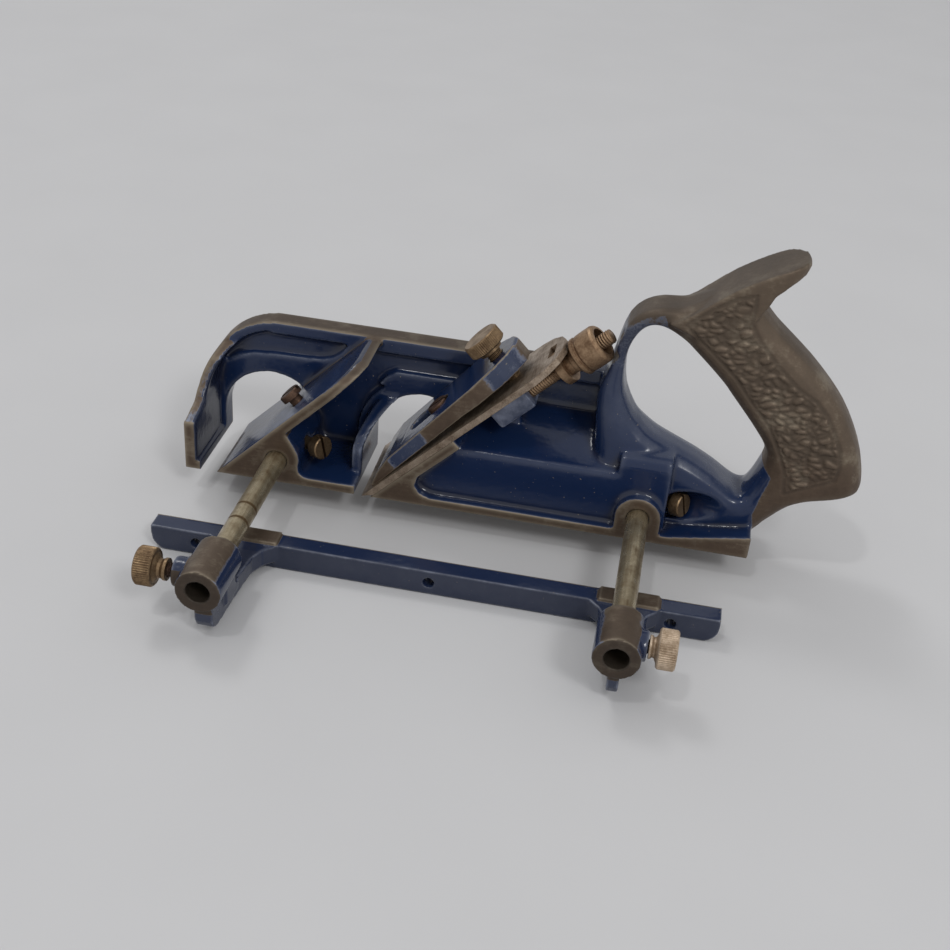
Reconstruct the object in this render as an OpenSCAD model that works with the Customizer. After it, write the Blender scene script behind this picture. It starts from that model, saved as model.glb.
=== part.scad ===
// Metal rebate and fillister plane with a two-rod fence.
// Millimetres, +Z up, +X from toe to heel, -Y toward the fence side.
// The origin is the middle of the sole. The modules are drawn with x = 0 where the main
// bed meets the sole, and placed() moves each finished piece to the middle of the sole.

/* [Sole and casting] */
// Sole length from toe to heel
sole_length = 215; // [211:1:219]
// Sole width, also the width of the cutter at its edge
sole_width = 38; // [36:0.5:40]
// Sole length in front of the main bed line
front_length = 73; // [71:0.5:75]
// Length of the toe strip of sole in front of the front mouth
toe_strip = 6.2; // [5.5:0.1:7]
// Open length of the front mouth at the sole
front_mouth = 6.2; // [5.5:0.1:7]
// Open length of the main mouth from its front edge to the bed
main_mouth = 6.3; // [5.6:0.1:7]
// Thickness of the sole plate behind its near edge
sole_t = 3.5; // [3:0.1:4.5]
// Height of the side wall and its rail
wall_h = 52.3; // [50:0.5:55]
// Thickness of the side wall at its recessed panels
wall_t = 6; // [5:0.25:6.5]
// Thickness of the rail and the collars round the throats
rail_t = 8.6; // [8:0.1:8.6]
// Radius of the nose curve
nose_r = 29; // [27:0.5:31]
// Thickness of the nose flange
nose_t = 4; // [3.5:0.25:5]
// Radius of the round throat openings
throat_r = 19.3; // [18:0.25:20]
// Height of the throat centres above the sole
throat_z = 10.8; // [10:0.25:12]
// Radial width of the collar round a throat
collar_w = 6.5; // [5:0.25:7]
// Thickness of the front and main bed plates
bed_t = 4; // [3.5:0.25:4.5]

/* [Handle] */
// Height of the horn of the handle above the sole
horn_z = 111.4; // [108:0.5:115]
// Distance of the tail of the handle behind the main bed line
tail_x = 177.4; // [174:0.5:181]
// Width of the grip across the plane
grip_w = 22; // [20:0.5:24]
// Width of the front loop of the handle across the plane
loop_w = 16; // [14:0.5:18]
// Corner rounding of the handle section
grip_r = 8; // [5:0.25:9]

/* [Cutter] */
// Thickness of the cutter
cutter_t = 2.4; // [2.2:0.1:3]
// Length of the cutter along the bed
cutter_len = 94.5; // [93.5:0.5:95]
// Width of the upper part of the cutter that passes the side wall
cutter_upper_w = 28.6; // [27:0.2:28.8]
// Length of the full-width lower part of the cutter
cutter_wide_len = 22; // [20:0.5:23]
// Length of the cross slot in the cutter, across the plane
cutter_slot_w = 9; // [8.6:0.1:10]

/* [Lever cap] */
// Thickness of the lever cap
cap_t = 5.2; // [4.8:0.1:6]
// Length of the lever cap
cap_len = 78; // [76.5:0.5:79.5]
// Width of the lever cap
cap_w = 27.5; // [26:0.25:28]
// Opening angle between lever cap and cutter
cap_tilt = 4; // [3.5:0.1:4.5]
// Diameter of the knurled head of the lever cap thumbscrew
cap_knob_d = 14.5; // [13:0.5:16]
// Thickness of that knurled head
cap_knob_t = 5.3; // [4.5:0.1:6]
// Thread diameter of the lever cap thumbscrew
cap_thumb_d = 6; // [5:0.25:6.5]
// Thread diameter of the two lever cap screws
cap_screw_d = 5; // [4.5:0.25:5.5]
// Head diameter of the two lever cap screws
cap_screw_head_d = 8.6; // [8.2:0.1:9]

/* [Cutter adjuster] */
// Diameter of the adjusting stud
stud_d = 5.5; // [5:0.1:6]
// Depth of the stud axis below the bed
stud_drop = 5.2; // [5:0.1:5.5]
// Diameter of the knurled body of the adjusting nut
nut_d = 14.5; // [13:0.25:14.75]
// Length of the knurled body of the adjusting nut
nut_len = 10.6; // [10:0.1:10.8]
// Diameter of the nut flange that works in the cutter slot
nut_flange_d = 13; // [12.6:0.1:13.2]

/* [Fence rods] */
// Diameter of the fence rods
rod_d = 8; // [7.5:0.1:8.4]
// Length of the fence rods
rod_len = 104; // [102:0.5:107]
// Height of the rod axes above the sole
rod_z = 9.5; // [9.2:0.1:10]
// Distance of the front rod in front of the main bed line
front_rod_back = 36.9; // [36:0.1:37.5]
// Distance of the rear rod behind the main bed line
rear_rod_x = 100.3; // [99.5:0.1:101]
// Thread diameter of the rod set screws
set_screw_d = 5; // [4.5:0.1:5.5]
// Head diameter of the rod set screws
set_head_d = 9; // [8.4:0.1:9.4]

/* [Fence] */
// Length of the fence bar
fence_len = 206; // [200:1:212]
// Width of the top face of the fence bar
fence_w = 7.6; // [7:0.1:8.4]
// Height of the fence bar
fence_h = 10; // [9:0.25:11]
// Distance from the near side of the sole to the fence face
fence_gap = 30.5; // [28:0.5:33]
// Outside diameter of the rod bosses on the fence
boss_d = 16; // [15:0.25:17]
// Length of the rod bosses on the fence
boss_len = 19; // [17:0.5:21]
// Distance from the fence face to the outer end of the bosses
boss_reach = 51; // [49:0.5:53]
// How much further the front boss reaches than the rear one
front_boss_out = 3; // [2:0.25:4]
// Thickness of the gusset fin under each boss
fin_t = 4; // [3:0.25:5]
// Diameter of the facing screw holes in the fence
facing_hole_d = 4; // [3:0.1:4.6]
// Spacing of the two outer facing screw holes
facing_spacing = 172; // [170:0.5:174]
// Head diameter of the fence thumbscrews
fence_knob_d = 13.5; // [12:0.25:15]
// Head thickness of the fence thumbscrews
fence_knob_t = 6.25; // [5.75:0.25:7.5]
// Thread diameter of the fence thumbscrews
fence_screw_d = 5; // [4.5:0.1:5.5]

/* [Depth gauge and spur] */
// Width of the depth gauge plate
gauge_w = 14; // [12:0.25:16]
// Thickness of the depth gauge plate
gauge_t = 3; // [2.5:0.1:3.5]
// Height of the depth gauge plate
gauge_h = 42; // [41:0.5:43]
// Reach of the depth gauge foot from the side of the plane
gauge_foot = 16; // [13:0.5:18]
// Thread diameter of the depth gauge screw
gauge_screw_d = 5; // [4.5:0.1:5.4]
// Radius of the spur over its points
spur_r = 7; // [6.4:0.1:7.4]
// Thickness of the spur
spur_t = 1.4; // [1.2:0.1:1.6]

/* [Fits] */
// Radial clearance of running and screw fits
fit = 0.05; // [0.02:0.01:0.08]
// Small clearance between faces that pass one another
pass = 0.35; // [0.3:0.05:0.4]

/* [Hidden] */
$fn = 64;
bed_angle = 45;
c45 = cos(bed_angle);
near_y = -sole_width / 2;
far_y = sole_width / 2;
rail_y = far_y - rail_t;
wall_y = far_y - wall_t;
toe_x = -front_length;
heel_x = sole_length - front_length;
shift_x = -(toe_x + heel_x) / 2;
toe_rear_x = toe_x + toe_strip;
front_bed_x = toe_rear_x + front_mouth;
mouth_x = -main_mouth;
front_throat_x = toe_rear_x + throat_r;
main_throat_x = mouth_x + throat_r;
nose_cx = toe_x + nose_r;
nose_cz = wall_h - nose_r;
rail_h = 5.2;
wall_end_x = 84;
collar_r = throat_r + collar_w;
bed_shift = bed_t / c45;
front_bed_top = wall_h - 1;
collar_top = 38.6;
rod_r = rod_d / 2;
front_rod_x = -front_rod_back;
// rod sockets stop short of the flat right side
socket_end_y = far_y - 5;
rod_far_y = socket_end_y - 0.5;
rod_near_y = rod_far_y - rod_len;
// rod set screws point at the rod axis, turned out toward the near side
set_turn = -30;
set_y = -0.5;
// and tipped up about the rod, so that their heads stand clear of the sole
set_rise = 11;
set_tip = (rod_r + fit) / cos(set_turn) + set_screw_d / 2 * tan(abs(set_turn));
set_head_at = 15;
set_head_t = 4;
// cutter and cap stand near the left edge so that they clear the rail
cutter_far = near_y + cutter_upper_w;
centre_y = -3.6;
cap_near = centre_y - cap_w / 2;
cap_screw_u = 40;
front_screw_u = 39;
cap_thumb_u = 71;
cap_start_u = 3;
cap_foot = 4;
cap_end_u = cap_start_u + cap_len;
// height of the cap underside and of its top face above the bed at u
function cap_under(u) = cutter_t + (u - cap_start_u - cap_foot) * tan(cap_tilt);
function cap_top(u) = cap_under(u) + cap_t;
// floor of the sliding recess under the lever cap screw head
cap_recess_w = cap_top(cap_screw_u) - 1.2;
cap_travel = 10;
// the cap grows thicker toward its thumbscrew, downward and upward
cap_deep = 1.7;
cap_rise = 0.8;
cap_head_t = 2.6;
front_head_w = 2.5;
cap_knob_w = cap_top(cap_thumb_u) + 5;
bevel_u = cutter_t / tan(30) - cutter_t;
slot_u = cutter_len - 5.7;
stud_y = centre_y;
boss_u0 = 56.4;
boss_u1 = 73;
nut_bore_r = stud_d / 2 + fit;
nut_r = nut_d / 2;
// flange of the nut sits in the cutter slot with this play each way
flange_t = 3;
flange_play = 0.05;
slot_len = flange_t + 2 * flange_play;
nut_u0 = slot_u - flange_t / 2;
nut_body_u = cutter_len + 0.8;
stud_end_u = nut_body_u + nut_len + 4;
pad_t = 1;
fence_top = -0.4 - pad_t;
fence_face_y = near_y - fence_gap;
fence_mid_x = (rear_rod_x + front_rod_x) / 2 - 0.7;
bar_near_y = fence_face_y - fence_w;
boss_near_y = fence_face_y - boss_reach;
boss_far_y = boss_near_y + boss_len;
lug_y = boss_near_y + boss_len / 2;
front_lug = boss_d / 2 + 3;
rear_lug = boss_d / 2 + 1.2;
// how far each fence knob stands off its rod axis, and the length of its neck
front_knob_at = front_lug + 2.4;
rear_knob_at = rear_lug + 0.5;
front_neck = 4.2;
rear_neck = 2.8;
// extra width of the fin below the front arm
front_fin_more = 2.4;
// length of a screw shank held inside its knurled head
knob_grip = 3;
screw_tip = rod_r + fit;
gauge_x = 37;
gauge_z = 26;
gauge_bottom = 8;
gauge_slot_r = gauge_screw_d / 2 + pass;
spur_x = mouth_x - 10;
spur_z = 6.5;
spur_screw_d = 4;
spur_head_t = 0.8;
spur_pocket = spur_t + spur_head_t + 0.2;
spur_in_y = far_y - spur_pocket;
spur_hold = 2.2;
set_bore_r = set_screw_d / 2 + fit;
grip_far = grip_w / 2;
block_end_x = rear_rod_x + 9.7;
// the handle is drawn to these limits and stretched from its root to the set ones
handle_root = [84, 42];
drawn_horn_z = 111.4;
drawn_tail_x = 177.4;
function handle_at(q) = [
    q[0] <= handle_root[0] ? q[0]
        : handle_root[0] + (q[0] - handle_root[0]) * (tail_x - handle_root[0])
            / (drawn_tail_x - handle_root[0]),
    q[1] <= handle_root[1] ? q[1]
        : handle_root[1] + (q[1] - handle_root[1]) * (horn_z - handle_root[1])
            / (drawn_horn_z - handle_root[1])];

// move a finished piece so that the origin is the middle of the sole
module placed() {
    translate([shift_x, 0, 0]) children();
}

// extrude an x-z drawing from y0 to y1
module side(y0, y1) {
    translate([0, y1, 0]) rotate([90, 0, 0]) linear_extrude(height = y1 - y0) children();
}

// extrude a y-z drawing from x0 to x1
module across(x0, x1) {
    translate([x0, 0, 0]) rotate([90, 0, 90]) linear_extrude(height = x1 - x0) children();
}

// place children on a bed: local x runs up the bed, local z stands off it
module on_bed(x0) {
    translate([x0, 0, 0]) rotate([0, -bed_angle, 0]) children();
}

// place children with local z along the rod set screw, origin on the rod axis
module on_set_screw(x0) {
    translate([x0, set_y, rod_z]) rotate([0, -set_rise, 0]) rotate([0, 0, set_turn])
        rotate([0, 90, 0]) children();
}

module wall_outline() {
    polygon([[toe_x, 0], [toe_x, nose_cz], [nose_cx, nose_cz], [nose_cx, wall_h],
        [wall_end_x, wall_h], [wall_end_x, 0]]);
    intersection() {
        translate([nose_cx, nose_cz]) circle(r = nose_r, $fn = 96);
        translate([toe_x - 1, nose_cz - 0.5]) square([nose_r + 1, nose_r + 2]);
    }
}

// open region above a bed line, below the collar
module throat(tip_x, front_x, cx, r) {
    difference() {
        union() {
            translate([cx, throat_z]) circle(r = r, $fn = 96);
            translate([front_x, -2]) square([throat_r, throat_z + 2]);
        }
        polygon([[tip_x - 2, -2], [tip_x + 90, 90], [tip_x + 120, -2]]);
    }
}

module nose_ring() {
    difference() {
        union() {
            translate([toe_x, 0]) square([nose_t + 0.7, nose_cz + 0.1]);
            translate([toe_x, 0]) square([toe_strip, sole_t]);
            intersection() {
                translate([nose_cx, nose_cz]) circle(r = nose_r, $fn = 96);
                translate([toe_x - 1, nose_cz]) square([nose_r + 1, nose_r + 2]);
            }
        }
        intersection() {
            translate([nose_cx, nose_cz]) circle(r = nose_r - nose_t, $fn = 96);
            translate([toe_x - 1, nose_cz]) square([nose_r + 2, nose_r + 2]);
        }
    }
}

module wall() {
    // panels at the thin wall, rail and collars standing proud toward the near side
    side(wall_y, far_y) difference() {
        wall_outline();
        throat(front_bed_x, toe_rear_x, front_throat_x, throat_r);
        throat(0, mouth_x, main_throat_x, throat_r);
    }
    side(rail_y, wall_y + 0.5) intersection() {
        wall_outline();
        union() {
            translate([nose_cx - 4, wall_h - rail_h]) square([wall_end_x - nose_cx + 4, rail_h]);
            // deeper behind the front bed
            translate([-6, wall_h - rail_h - 1]) square([wall_end_x + 6, rail_h]);
            difference() {
                union() {
                    front_collar();
                    throat(0, mouth_x - collar_w, main_throat_x, collar_r);
                    polygon([[mouth_x + 1, 32], [mouth_x + 4, 36], [mouth_x + 8, collar_top],
                        [collar_top, collar_top], [33, 33]]);
                }
                throat(front_bed_x + 2, toe_rear_x, front_throat_x, throat_r);
                throat(2, mouth_x, main_throat_x, throat_r);
                translate([toe_x, -wall_h]) square([sole_length, wall_h]);
            }
        }
    }
}

// thick part of the wall round the front throat, its upper edge rising beside the bed
module front_collar() {
    top = wall_h - rail_h + 0.2;
    polygon([[toe_x + 0.5, 0], [toe_x + 0.5, 25], [toe_x + 3, 29], [toe_x + 6.4, 32.6],
        [toe_x + 11.4, 35.8], [toe_x + 18, 37.8], [toe_x + 27, 38.6], [toe_x + 37, 38.8],
        [toe_x + 45, 39.2], [toe_x + 50, 40.8], [toe_x + 53.4, 43.8], [toe_x + 56, top],
        [front_bed_x + 0.5 + top, top], [front_bed_x + 0.5, 0]]);
}

module nose() {
    intersection() {
        side(near_y, far_y) nose_ring();
        across(toe_x - 1, nose_cx + 1) polygon([[near_y, 0], [near_y, 20], [-7, 23.5], [-3, 28],
            [-0.5, 33], [2, 37.5], [rail_y, 42], [rail_y, wall_h + 1], [far_y, wall_h + 1],
            [far_y, 0]]);
    }
}

module front_bay() {
    // bed plate, rounded back toward the rail at its top
    intersection() {
        side(near_y, far_y) polygon([[front_bed_x, 0], [front_bed_x + front_bed_top, front_bed_top],
            [front_bed_x + front_bed_top + bed_shift, front_bed_top], [front_bed_x + bed_shift, 0]]);
        across(front_bed_x - 1, front_bed_x + front_bed_top + 10) polygon([[near_y, 0],
            [near_y, 41], [near_y + 1.4, 45.4], [near_y + 4, 48.4], [near_y + 7.4, 50.4],
            [near_y + 10.6, front_bed_top], [far_y, front_bed_top], [far_y, 0]]);
    }
    // block round the front rod, with the curved edge of the pocket behind it
    side(near_y, wall_y + 0.5) polygon(concat([[front_bed_x, 0], [front_bed_x + 25, 25]],
        [[front_rod_x + 4.6, 20.2], [front_rod_x + 6.6, 16.8], [front_rod_x + 8.3, 13.4],
        [front_rod_x + 8.8, 10.6], [front_rod_x + 8.4, 8], [front_rod_x + 8.7, 5.6],
        [front_rod_x + 10.2, 4], [front_rod_x + 12.6, sole_t], [front_rod_x + 12.6, 0]]));
    // middle length of sole
    side(near_y, far_y) polygon([[front_bed_x, 0], [front_bed_x + sole_t, sole_t],
        [mouth_x, sole_t], [mouth_x, 0]]);
    // curved flange in front of the main throat, cut back toward the wall as it rises
    intersection() {
        side(near_y, far_y) difference() {
            union() {
                translate([main_throat_x, throat_z]) circle(r = throat_r + 4, $fn = 96);
                translate([mouth_x - 4, 0]) square([8, throat_z]);
            }
            translate([main_throat_x, throat_z]) circle(r = throat_r, $fn = 96);
            translate([mouth_x, -collar_r]) square([2 * collar_r, collar_r + throat_z]);
            translate([main_throat_x, -collar_r]) square([collar_r, 3 * collar_r]);
            translate([mouth_x - collar_r, -collar_r]) square([2 * collar_r, collar_r]);
        }
        across(mouth_x - 6, main_throat_x + 1) polygon([[near_y + 10, 0], [near_y + 10, 14],
            [near_y + 12, 18], [near_y + 18, 23], [rail_y, 28], [far_y, 28], [far_y, 0]]);
    }
}

module rear_bay() {
    // rear length of sole, thickening at the heel
    side(near_y, far_y) polygon([[0, 0], [sole_t, sole_t], [heel_x - 30, sole_t],
        [heel_x, sole_t + 5.3], [heel_x, 0]]);
    // main bed plate at full width
    side(near_y, far_y) polygon([[0, 0], [30, 30], [30 + bed_t * c45, 30 - bed_t * c45],
        [12 + bed_shift, 12], [11 + bed_shift, 8], [13 + bed_shift, 5], [17 + bed_shift, sole_t],
        [17 + bed_shift, 0]]);
    // recessed side panel and the sloping top behind it, its field left plain
    intersection() {
        across(0, block_end_x) polygon([[near_y + 4, 0], [near_y + 4, 23.6],
            [near_y + 5.2, 24.8], [wall_y, 33.8], [far_y, 33.8], [far_y, 0]]);
        side(near_y, far_y) polygon([[0, 0], [60, 60], [84, 42], [90, 33.4],
            [block_end_x, 24], [block_end_x, 0]]);
    }
    // housing over the rear rod socket
    across(rear_rod_x - 9.3, block_end_x) polygon([[near_y + 4, 0], [near_y + 4, 28.6],
        [near_y + 5, 31], [near_y + 7, 32.4], [near_y + 10, 33], [0, 33], [0, 0]]);
    // boss under the cutter that holds the adjusting stud
    on_bed(0) translate([boss_u0, stud_y - 7, -stud_drop - 4.2])
        cube([boss_u1 - boss_u0, 14, stud_drop + 4.2]);
    side(stud_y + 4.4, wall_y + 0.5) polygon([[41, 28], [46, 35], [51, 40], [52, 28]]);
    // end of the wall, thickened where it meets the front of the handle loop
    side(4, far_y) polygon([[79.6, 30], [79.6, wall_h], [wall_end_x, wall_h], [88, 45],
        [90, 33.4], [90, 30]]);
    // boss face round the rear rod
    side(near_y, near_y + 8) {
        translate([rear_rod_x, rod_z]) circle(r = rod_r + 4.4, $fn = 64);
        translate([rear_rod_x - rod_r - 4.4, 0]) square([2 * rod_r + 8.8, rod_z]);
    }
}

// closed handle: matching points on the outside and on the opening
grip_out = [[79.4, 42], [79.3, 53], [82, 62.6], [84, 72], [86.4, 80.2], [90.8, 85.4],
    [97, 88], [104, 88.8], [109.6, 91.4], [114, 94.4], [119, 96.2], [124.4, 96],
    [129.4, 94], [133.2, 90.6], [137, 86.6], [143, 81.6], [151, 74.8], [158.6, 67.2],
    [165, 59.6], [170.6, 50.4], [175, 40.6], [177.4, 30.4], [176.2, 26.6], [170.2, 24.2],
    [163.5, 22.6], [157.4, 19.6], [151.6, 14.8], [146.6, 9], [141.4, 2.5], [131, 1.5],
    [117, 1.5], [103, 1.5], [91, 1.5], [83, 14], [80.4, 28]];
grip_in = [[93, 45], [88.8, 53], [87.4, 62], [87.9, 71], [90.2, 77], [92.8, 80.2],
    [96.4, 81.6], [100.5, 80.6], [104.6, 78], [108.4, 75], [112.4, 71.8], [116.4, 68.2],
    [120, 64.8], [123, 61.8], [126.2, 58], [130, 53.6], [134.2, 48.6], [138, 43.8],
    [140.4, 40.4], [141.6, 37], [141.4, 33.6], [140.4, 30.2], [139.4, 27.2], [138.4, 24.4],
    [137.2, 21.8], [136, 19.8], [134.6, 19], [132.6, 19.6], [129, 22.4], [124.4, 26],
    [117, 30.2], [109, 33.8], [102.6, 36.8], [98.4, 39.6], [95.4, 42.6]];
grip_wide = [18, 16, 16, 16, 16, 16, 16.5, 17.5, 19, 20.5, 22, 22, 22, 22, 22, 22, 22, 22, 22,
    22, 22, 22, 22, 22, 22, 22, 22, 22, 22, 22, 22, 22, 22, 22, 20];

function wrap(i, n) = (i % n + n) % n;
function mid4(a, b, c, d) = (9 * (b + c) - a - d) / 16;
function refine(p) = let (n = len(p)) [for (i = [0:2 * n - 1]) let (k = floor(i / 2))
    i % 2 == 0 ? p[k] : mid4(p[wrap(k - 1, n)], p[k], p[wrap(k + 1, n)], p[wrap(k + 2, n)])];
// station width: the front loop and the grip follow their own sizes
function station_w(w) = loop_w + (grip_w - loop_w) * (w - 16) / 6;
// rounded section between a point on the opening and a point outside
function section(i, o, w) = let (d = o - i, l = norm(d), e = d / l, t = w / 2,
    r = min(grip_r, 0.42 * l, 0.42 * w))
    [for (q = [[1, 1, 0], [-1, 1, 90], [-1, -1, 180], [1, -1, 270]]) for (a = [0, 30, 60, 90])
        let (u = l / 2 + q[0] * (l / 2 - r) + r * cos(q[2] + a),
            v = q[1] * (t - r) + r * sin(q[2] + a), p = i + e * u) [p[0], v, p[1]]];

module grip() {
    o = refine([for (q = grip_out) handle_at(q)]);
    h = refine([for (q = grip_in) handle_at(q)]);
    w = refine(grip_wide);
    n = len(o);
    m = 16;
    pts = [for (k = [0:n - 1]) each section(h[k], o[k], station_w(w[k]))];
    faces = [for (k = [0:n - 1]) for (j = [0:m - 1])
        let (a = k * m + j, b = k * m + (j + 1) % m, c = ((k + 1) % n) * m + (j + 1) % m,
            d = ((k + 1) % n) * m + j) each [[a, b, c], [a, c, d]]];
    polyhedron(points = pts, faces = faces, convexity = 6);
}

module horn() {
    outline = [[100, 84.2], [104, 86.4], [108.4, 89.3], [112.8, 93.2], [116.6, 96.6],
        [120.8, 100], [125, 102.9], [129.2, 105.5], [133.6, 107.9], [138.6, 110.2],
        [142.6, 111.4], [144.2, 110], [142.4, 107.2], [137.6, 103.6], [133.8, 99.9],
        [132.3, 96], [128, 88], [112, 80]];
    tip = handle_at([144.2, 0])[0];
    low = 80;
    intersection() {
        side(-grip_far, grip_far) polygon([for (q = outline) handle_at(q)]);
        union() {
            translate([tip - grip_far, 0, low]) cylinder(r = grip_far, h = horn_z);
            translate([tip - 50, -grip_far, low - 5]) cube([50 - grip_far, grip_w, horn_z]);
        }
    }
}

module body() color("#1f2c55") {
    difference() {
        union() {
            wall();
            nose();
            front_bay();
            rear_bay();
            grip();
            horn();
        }
        // sockets for the two fence rods
        for (x = [front_rod_x, rear_rod_x])
            side(near_y - 1, socket_end_y) translate([x, rod_z]) circle(r = rod_r + fit);
        // threaded holes for the rod set screws
        for (x = [front_rod_x, rear_rod_x]) on_set_screw(x) cylinder(r = set_bore_r, h = 30);
        // room for the rear set screw head beside the handle root
        on_set_screw(rear_rod_x) translate([0, 0, 11.2])
            cylinder(r = set_head_d / 2 + 1.6, h = sole_width);
        // threaded holes for the lever cap screws
        on_bed(0) translate([cap_screw_u, centre_y, -14]) cylinder(r = cap_screw_d / 2 + fit, h = 20);
        on_bed(front_bed_x) translate([front_screw_u, centre_y, -9])
            cylinder(r = cap_screw_d / 2 + fit, h = 20);
        // threaded hole for the adjusting stud
        on_bed(0) translate([boss_u0 + 4, stud_y, -stud_drop]) rotate([0, 90, 0])
            cylinder(r = stud_d / 2 + fit, h = stud_end_u + 1 - boss_u0);
        // hollow in the front of the loop that lets the adjusting nut travel
        on_bed(0) translate([nut_body_u, stud_y, -stud_drop]) rotate([0, 90, 0])
            cylinder(r = nut_d / 2 + 0.8, h = nut_len + 2.6);
        // depth gauge screw hole in the right side
        side(far_y - 12, far_y + 1) translate([gauge_x, gauge_z])
            circle(r = gauge_screw_d / 2 + fit);
        // spur recess and screw hole in the right side
        side(far_y - spur_pocket, far_y + 1) translate([spur_x, spur_z]) circle(r = spur_r + 0.5);
        side(spur_in_y - spur_hold - 0.2, far_y + 1) translate([spur_x, spur_z]) circle(r = spur_screw_d / 2 + fit);
    }
}

// cheese head with a screwdriver slot, underside at z = 0
module slotted_head(d, t) {
    difference() {
        union() {
            cylinder(d = d, h = t - 0.4);
            translate([0, 0, t - 0.4]) cylinder(d1 = d, d2 = d - 0.8, h = 0.4);
        }
        translate([-d, -0.6, t * 0.5]) cube([2 * d, 1.2, t]);
    }
}

// straight knurled disc with a plain chamfer at both ends
module knurled(d, t, n) {
    r = d / 2;
    intersection() {
        linear_extrude(height = t) polygon([for (i = [0:2 * n - 1])
            let (q = i % 2 == 0 ? r : r - 0.26, a = 180 * i / n) [q * cos(a), q * sin(a)]]);
        rotate_extrude($fn = 64) polygon([[0, 0], [r - 0.6, 0], [r + 0.2, 0.8],
            [r + 0.2, t - 0.8], [r - 0.6, t], [0, t]]);
    }
}

module cutter() color("#8f8a7c") {
    on_bed(0) difference() {
        intersection() {
            linear_extrude(height = cutter_t) polygon([[-cutter_t, near_y],
                [cutter_len - 13, near_y], [cutter_len - 7, near_y + 2],
                [cutter_len - 2.4, near_y + 6], [cutter_len, near_y + 11.5],
                [cutter_len, cutter_far - 10], [cutter_len - 2.4, cutter_far - 5],
                [cutter_len - 7, cutter_far - 1.4], [cutter_len - 12, cutter_far],
                [cutter_wide_len + 7, cutter_far], [cutter_wide_len, far_y], [-cutter_t, far_y]]);
            // bevel ground on the underside down to the edge
            side(near_y - 1, far_y + 1) polygon([[-cutter_t, cutter_t], [cutter_len + 1, cutter_t],
                [cutter_len + 1, 0], [bevel_u, 0]]);
        }
        translate([slot_u - slot_len / 2, stud_y - cutter_slot_w / 2, -1])
            cube([slot_len, cutter_slot_w, cutter_t + 2]);
        // long clearance slot for the lever cap screw
        translate([cap_screw_u - 7, centre_y - cap_screw_d / 2 - pass, -1])
            cube([14, cap_screw_d + 2 * pass, cutter_t + 2]);
    }
}

module lever_cap() color("#24335f") {
    head_r = cap_screw_head_d / 2 + pass;
    on_bed(0) difference() {
        intersection() {
            side(near_y, far_y) polygon([[cap_start_u, cutter_t], [cap_start_u + cap_foot, cutter_t],
                [cap_end_u - 30, cap_under(cap_end_u - 30) - 0.3],
                [cap_end_u, cap_under(cap_end_u) - cap_deep], [cap_end_u, cap_top(cap_end_u)],
                [cap_end_u - 1, cap_top(cap_end_u - 1) + cap_rise],
                [cap_end_u - 14, cap_top(cap_end_u - 14) + cap_rise],
                [cap_start_u + 13, cap_top(cap_start_u + 13)],
                [cap_start_u + 6, cap_top(cap_start_u + 6) - 1.6], [cap_start_u, cutter_t + 1]]);
            linear_extrude(height = 40) polygon([[cap_start_u, cap_near], [cap_end_u - 20, cap_near],
                [cap_end_u - 9, cap_near + 2.6], [cap_end_u - 3, cap_near + 6.4],
                [cap_end_u, cap_near + 11], [cap_end_u, cap_near + cap_w - 11],
                [cap_end_u - 3, cap_near + cap_w - 6.4], [cap_end_u - 9, cap_near + cap_w - 2.6],
                [cap_end_u - 20, cap_near + cap_w], [cap_start_u, cap_near + cap_w]]);
        }
        // keyhole and the recess its screw head slides in
        long_slot(cap_screw_u - cap_travel, cap_screw_u, head_r + 0.3, cap_recess_w, 40);
        long_slot(cap_screw_u - cap_travel, cap_screw_u, cap_screw_d / 2 + pass, -1, 40);
        translate([cap_screw_u - cap_travel, centre_y, -1]) cylinder(r = head_r, h = 40);
        // threaded hole for the thumbscrew
        translate([cap_thumb_u, centre_y, -1]) cylinder(r = cap_thumb_d / 2 + fit, h = 40);
        // shallow panel sunk in the face between screw and foot
        translate([cap_start_u + 14, cap_near + 4, cap_recess_w]) cube([6, cap_w - 8, 40]);
    }
}

// straight slot with round ends, from height w0 upward by h
module long_slot(u0, u1, r, w0, h) {
    translate([u0, centre_y, w0]) cylinder(r = r, h = h);
    translate([u1, centre_y, w0]) cylinder(r = r, h = h);
    translate([u0, centre_y - r, w0]) cube([u1 - u0, 2 * r, h]);
}

// knurled head of the thumbscrew, bored for its shank
module cap_thumb_knob() color("#a08560") {
    on_bed(0) translate([cap_thumb_u, centre_y, cap_knob_w]) difference() {
        union() {
            knurled(cap_knob_d, cap_knob_t, 56);
            translate([0, 0, -1.6]) cylinder(d = cap_thumb_d + 3, h = 1.7);
        }
        translate([0, 0, -2]) cylinder(r = cap_thumb_d / 2 + fit, h = 2 + knob_grip);
    }
}

// threaded shank of the thumbscrew, its tip pressing on the cutter
module cap_thumb_shank() color("#8b7350") {
    on_bed(0) translate([cap_thumb_u, centre_y, cutter_t])
        cylinder(d = cap_thumb_d, h = cap_knob_w - cutter_t + knob_grip);
}

module main_cap_screw() color("#6d6455") {
    on_bed(0) translate([cap_screw_u, centre_y, 0]) {
        translate([0, 0, -12]) cylinder(d = cap_screw_d, h = cap_recess_w + 12.1);
        translate([0, 0, cap_recess_w]) slotted_head(cap_screw_head_d, cap_head_t);
    }
}

module front_cap_screw() color("#6d6455") {
    on_bed(front_bed_x) translate([front_screw_u, centre_y, 0]) {
        translate([0, 0, -7]) cylinder(d = cap_screw_d, h = front_head_w + 7.1);
        translate([0, 0, front_head_w]) slotted_head(cap_screw_head_d, cap_head_t);
    }
}

module adjusting_stud() color("#7c5b45") {
    on_bed(0) translate([boss_u0 + 5, stud_y, -stud_drop]) rotate([0, 90, 0])
        cylinder(d = stud_d, h = stud_end_u - boss_u0 - 5);
}

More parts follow.
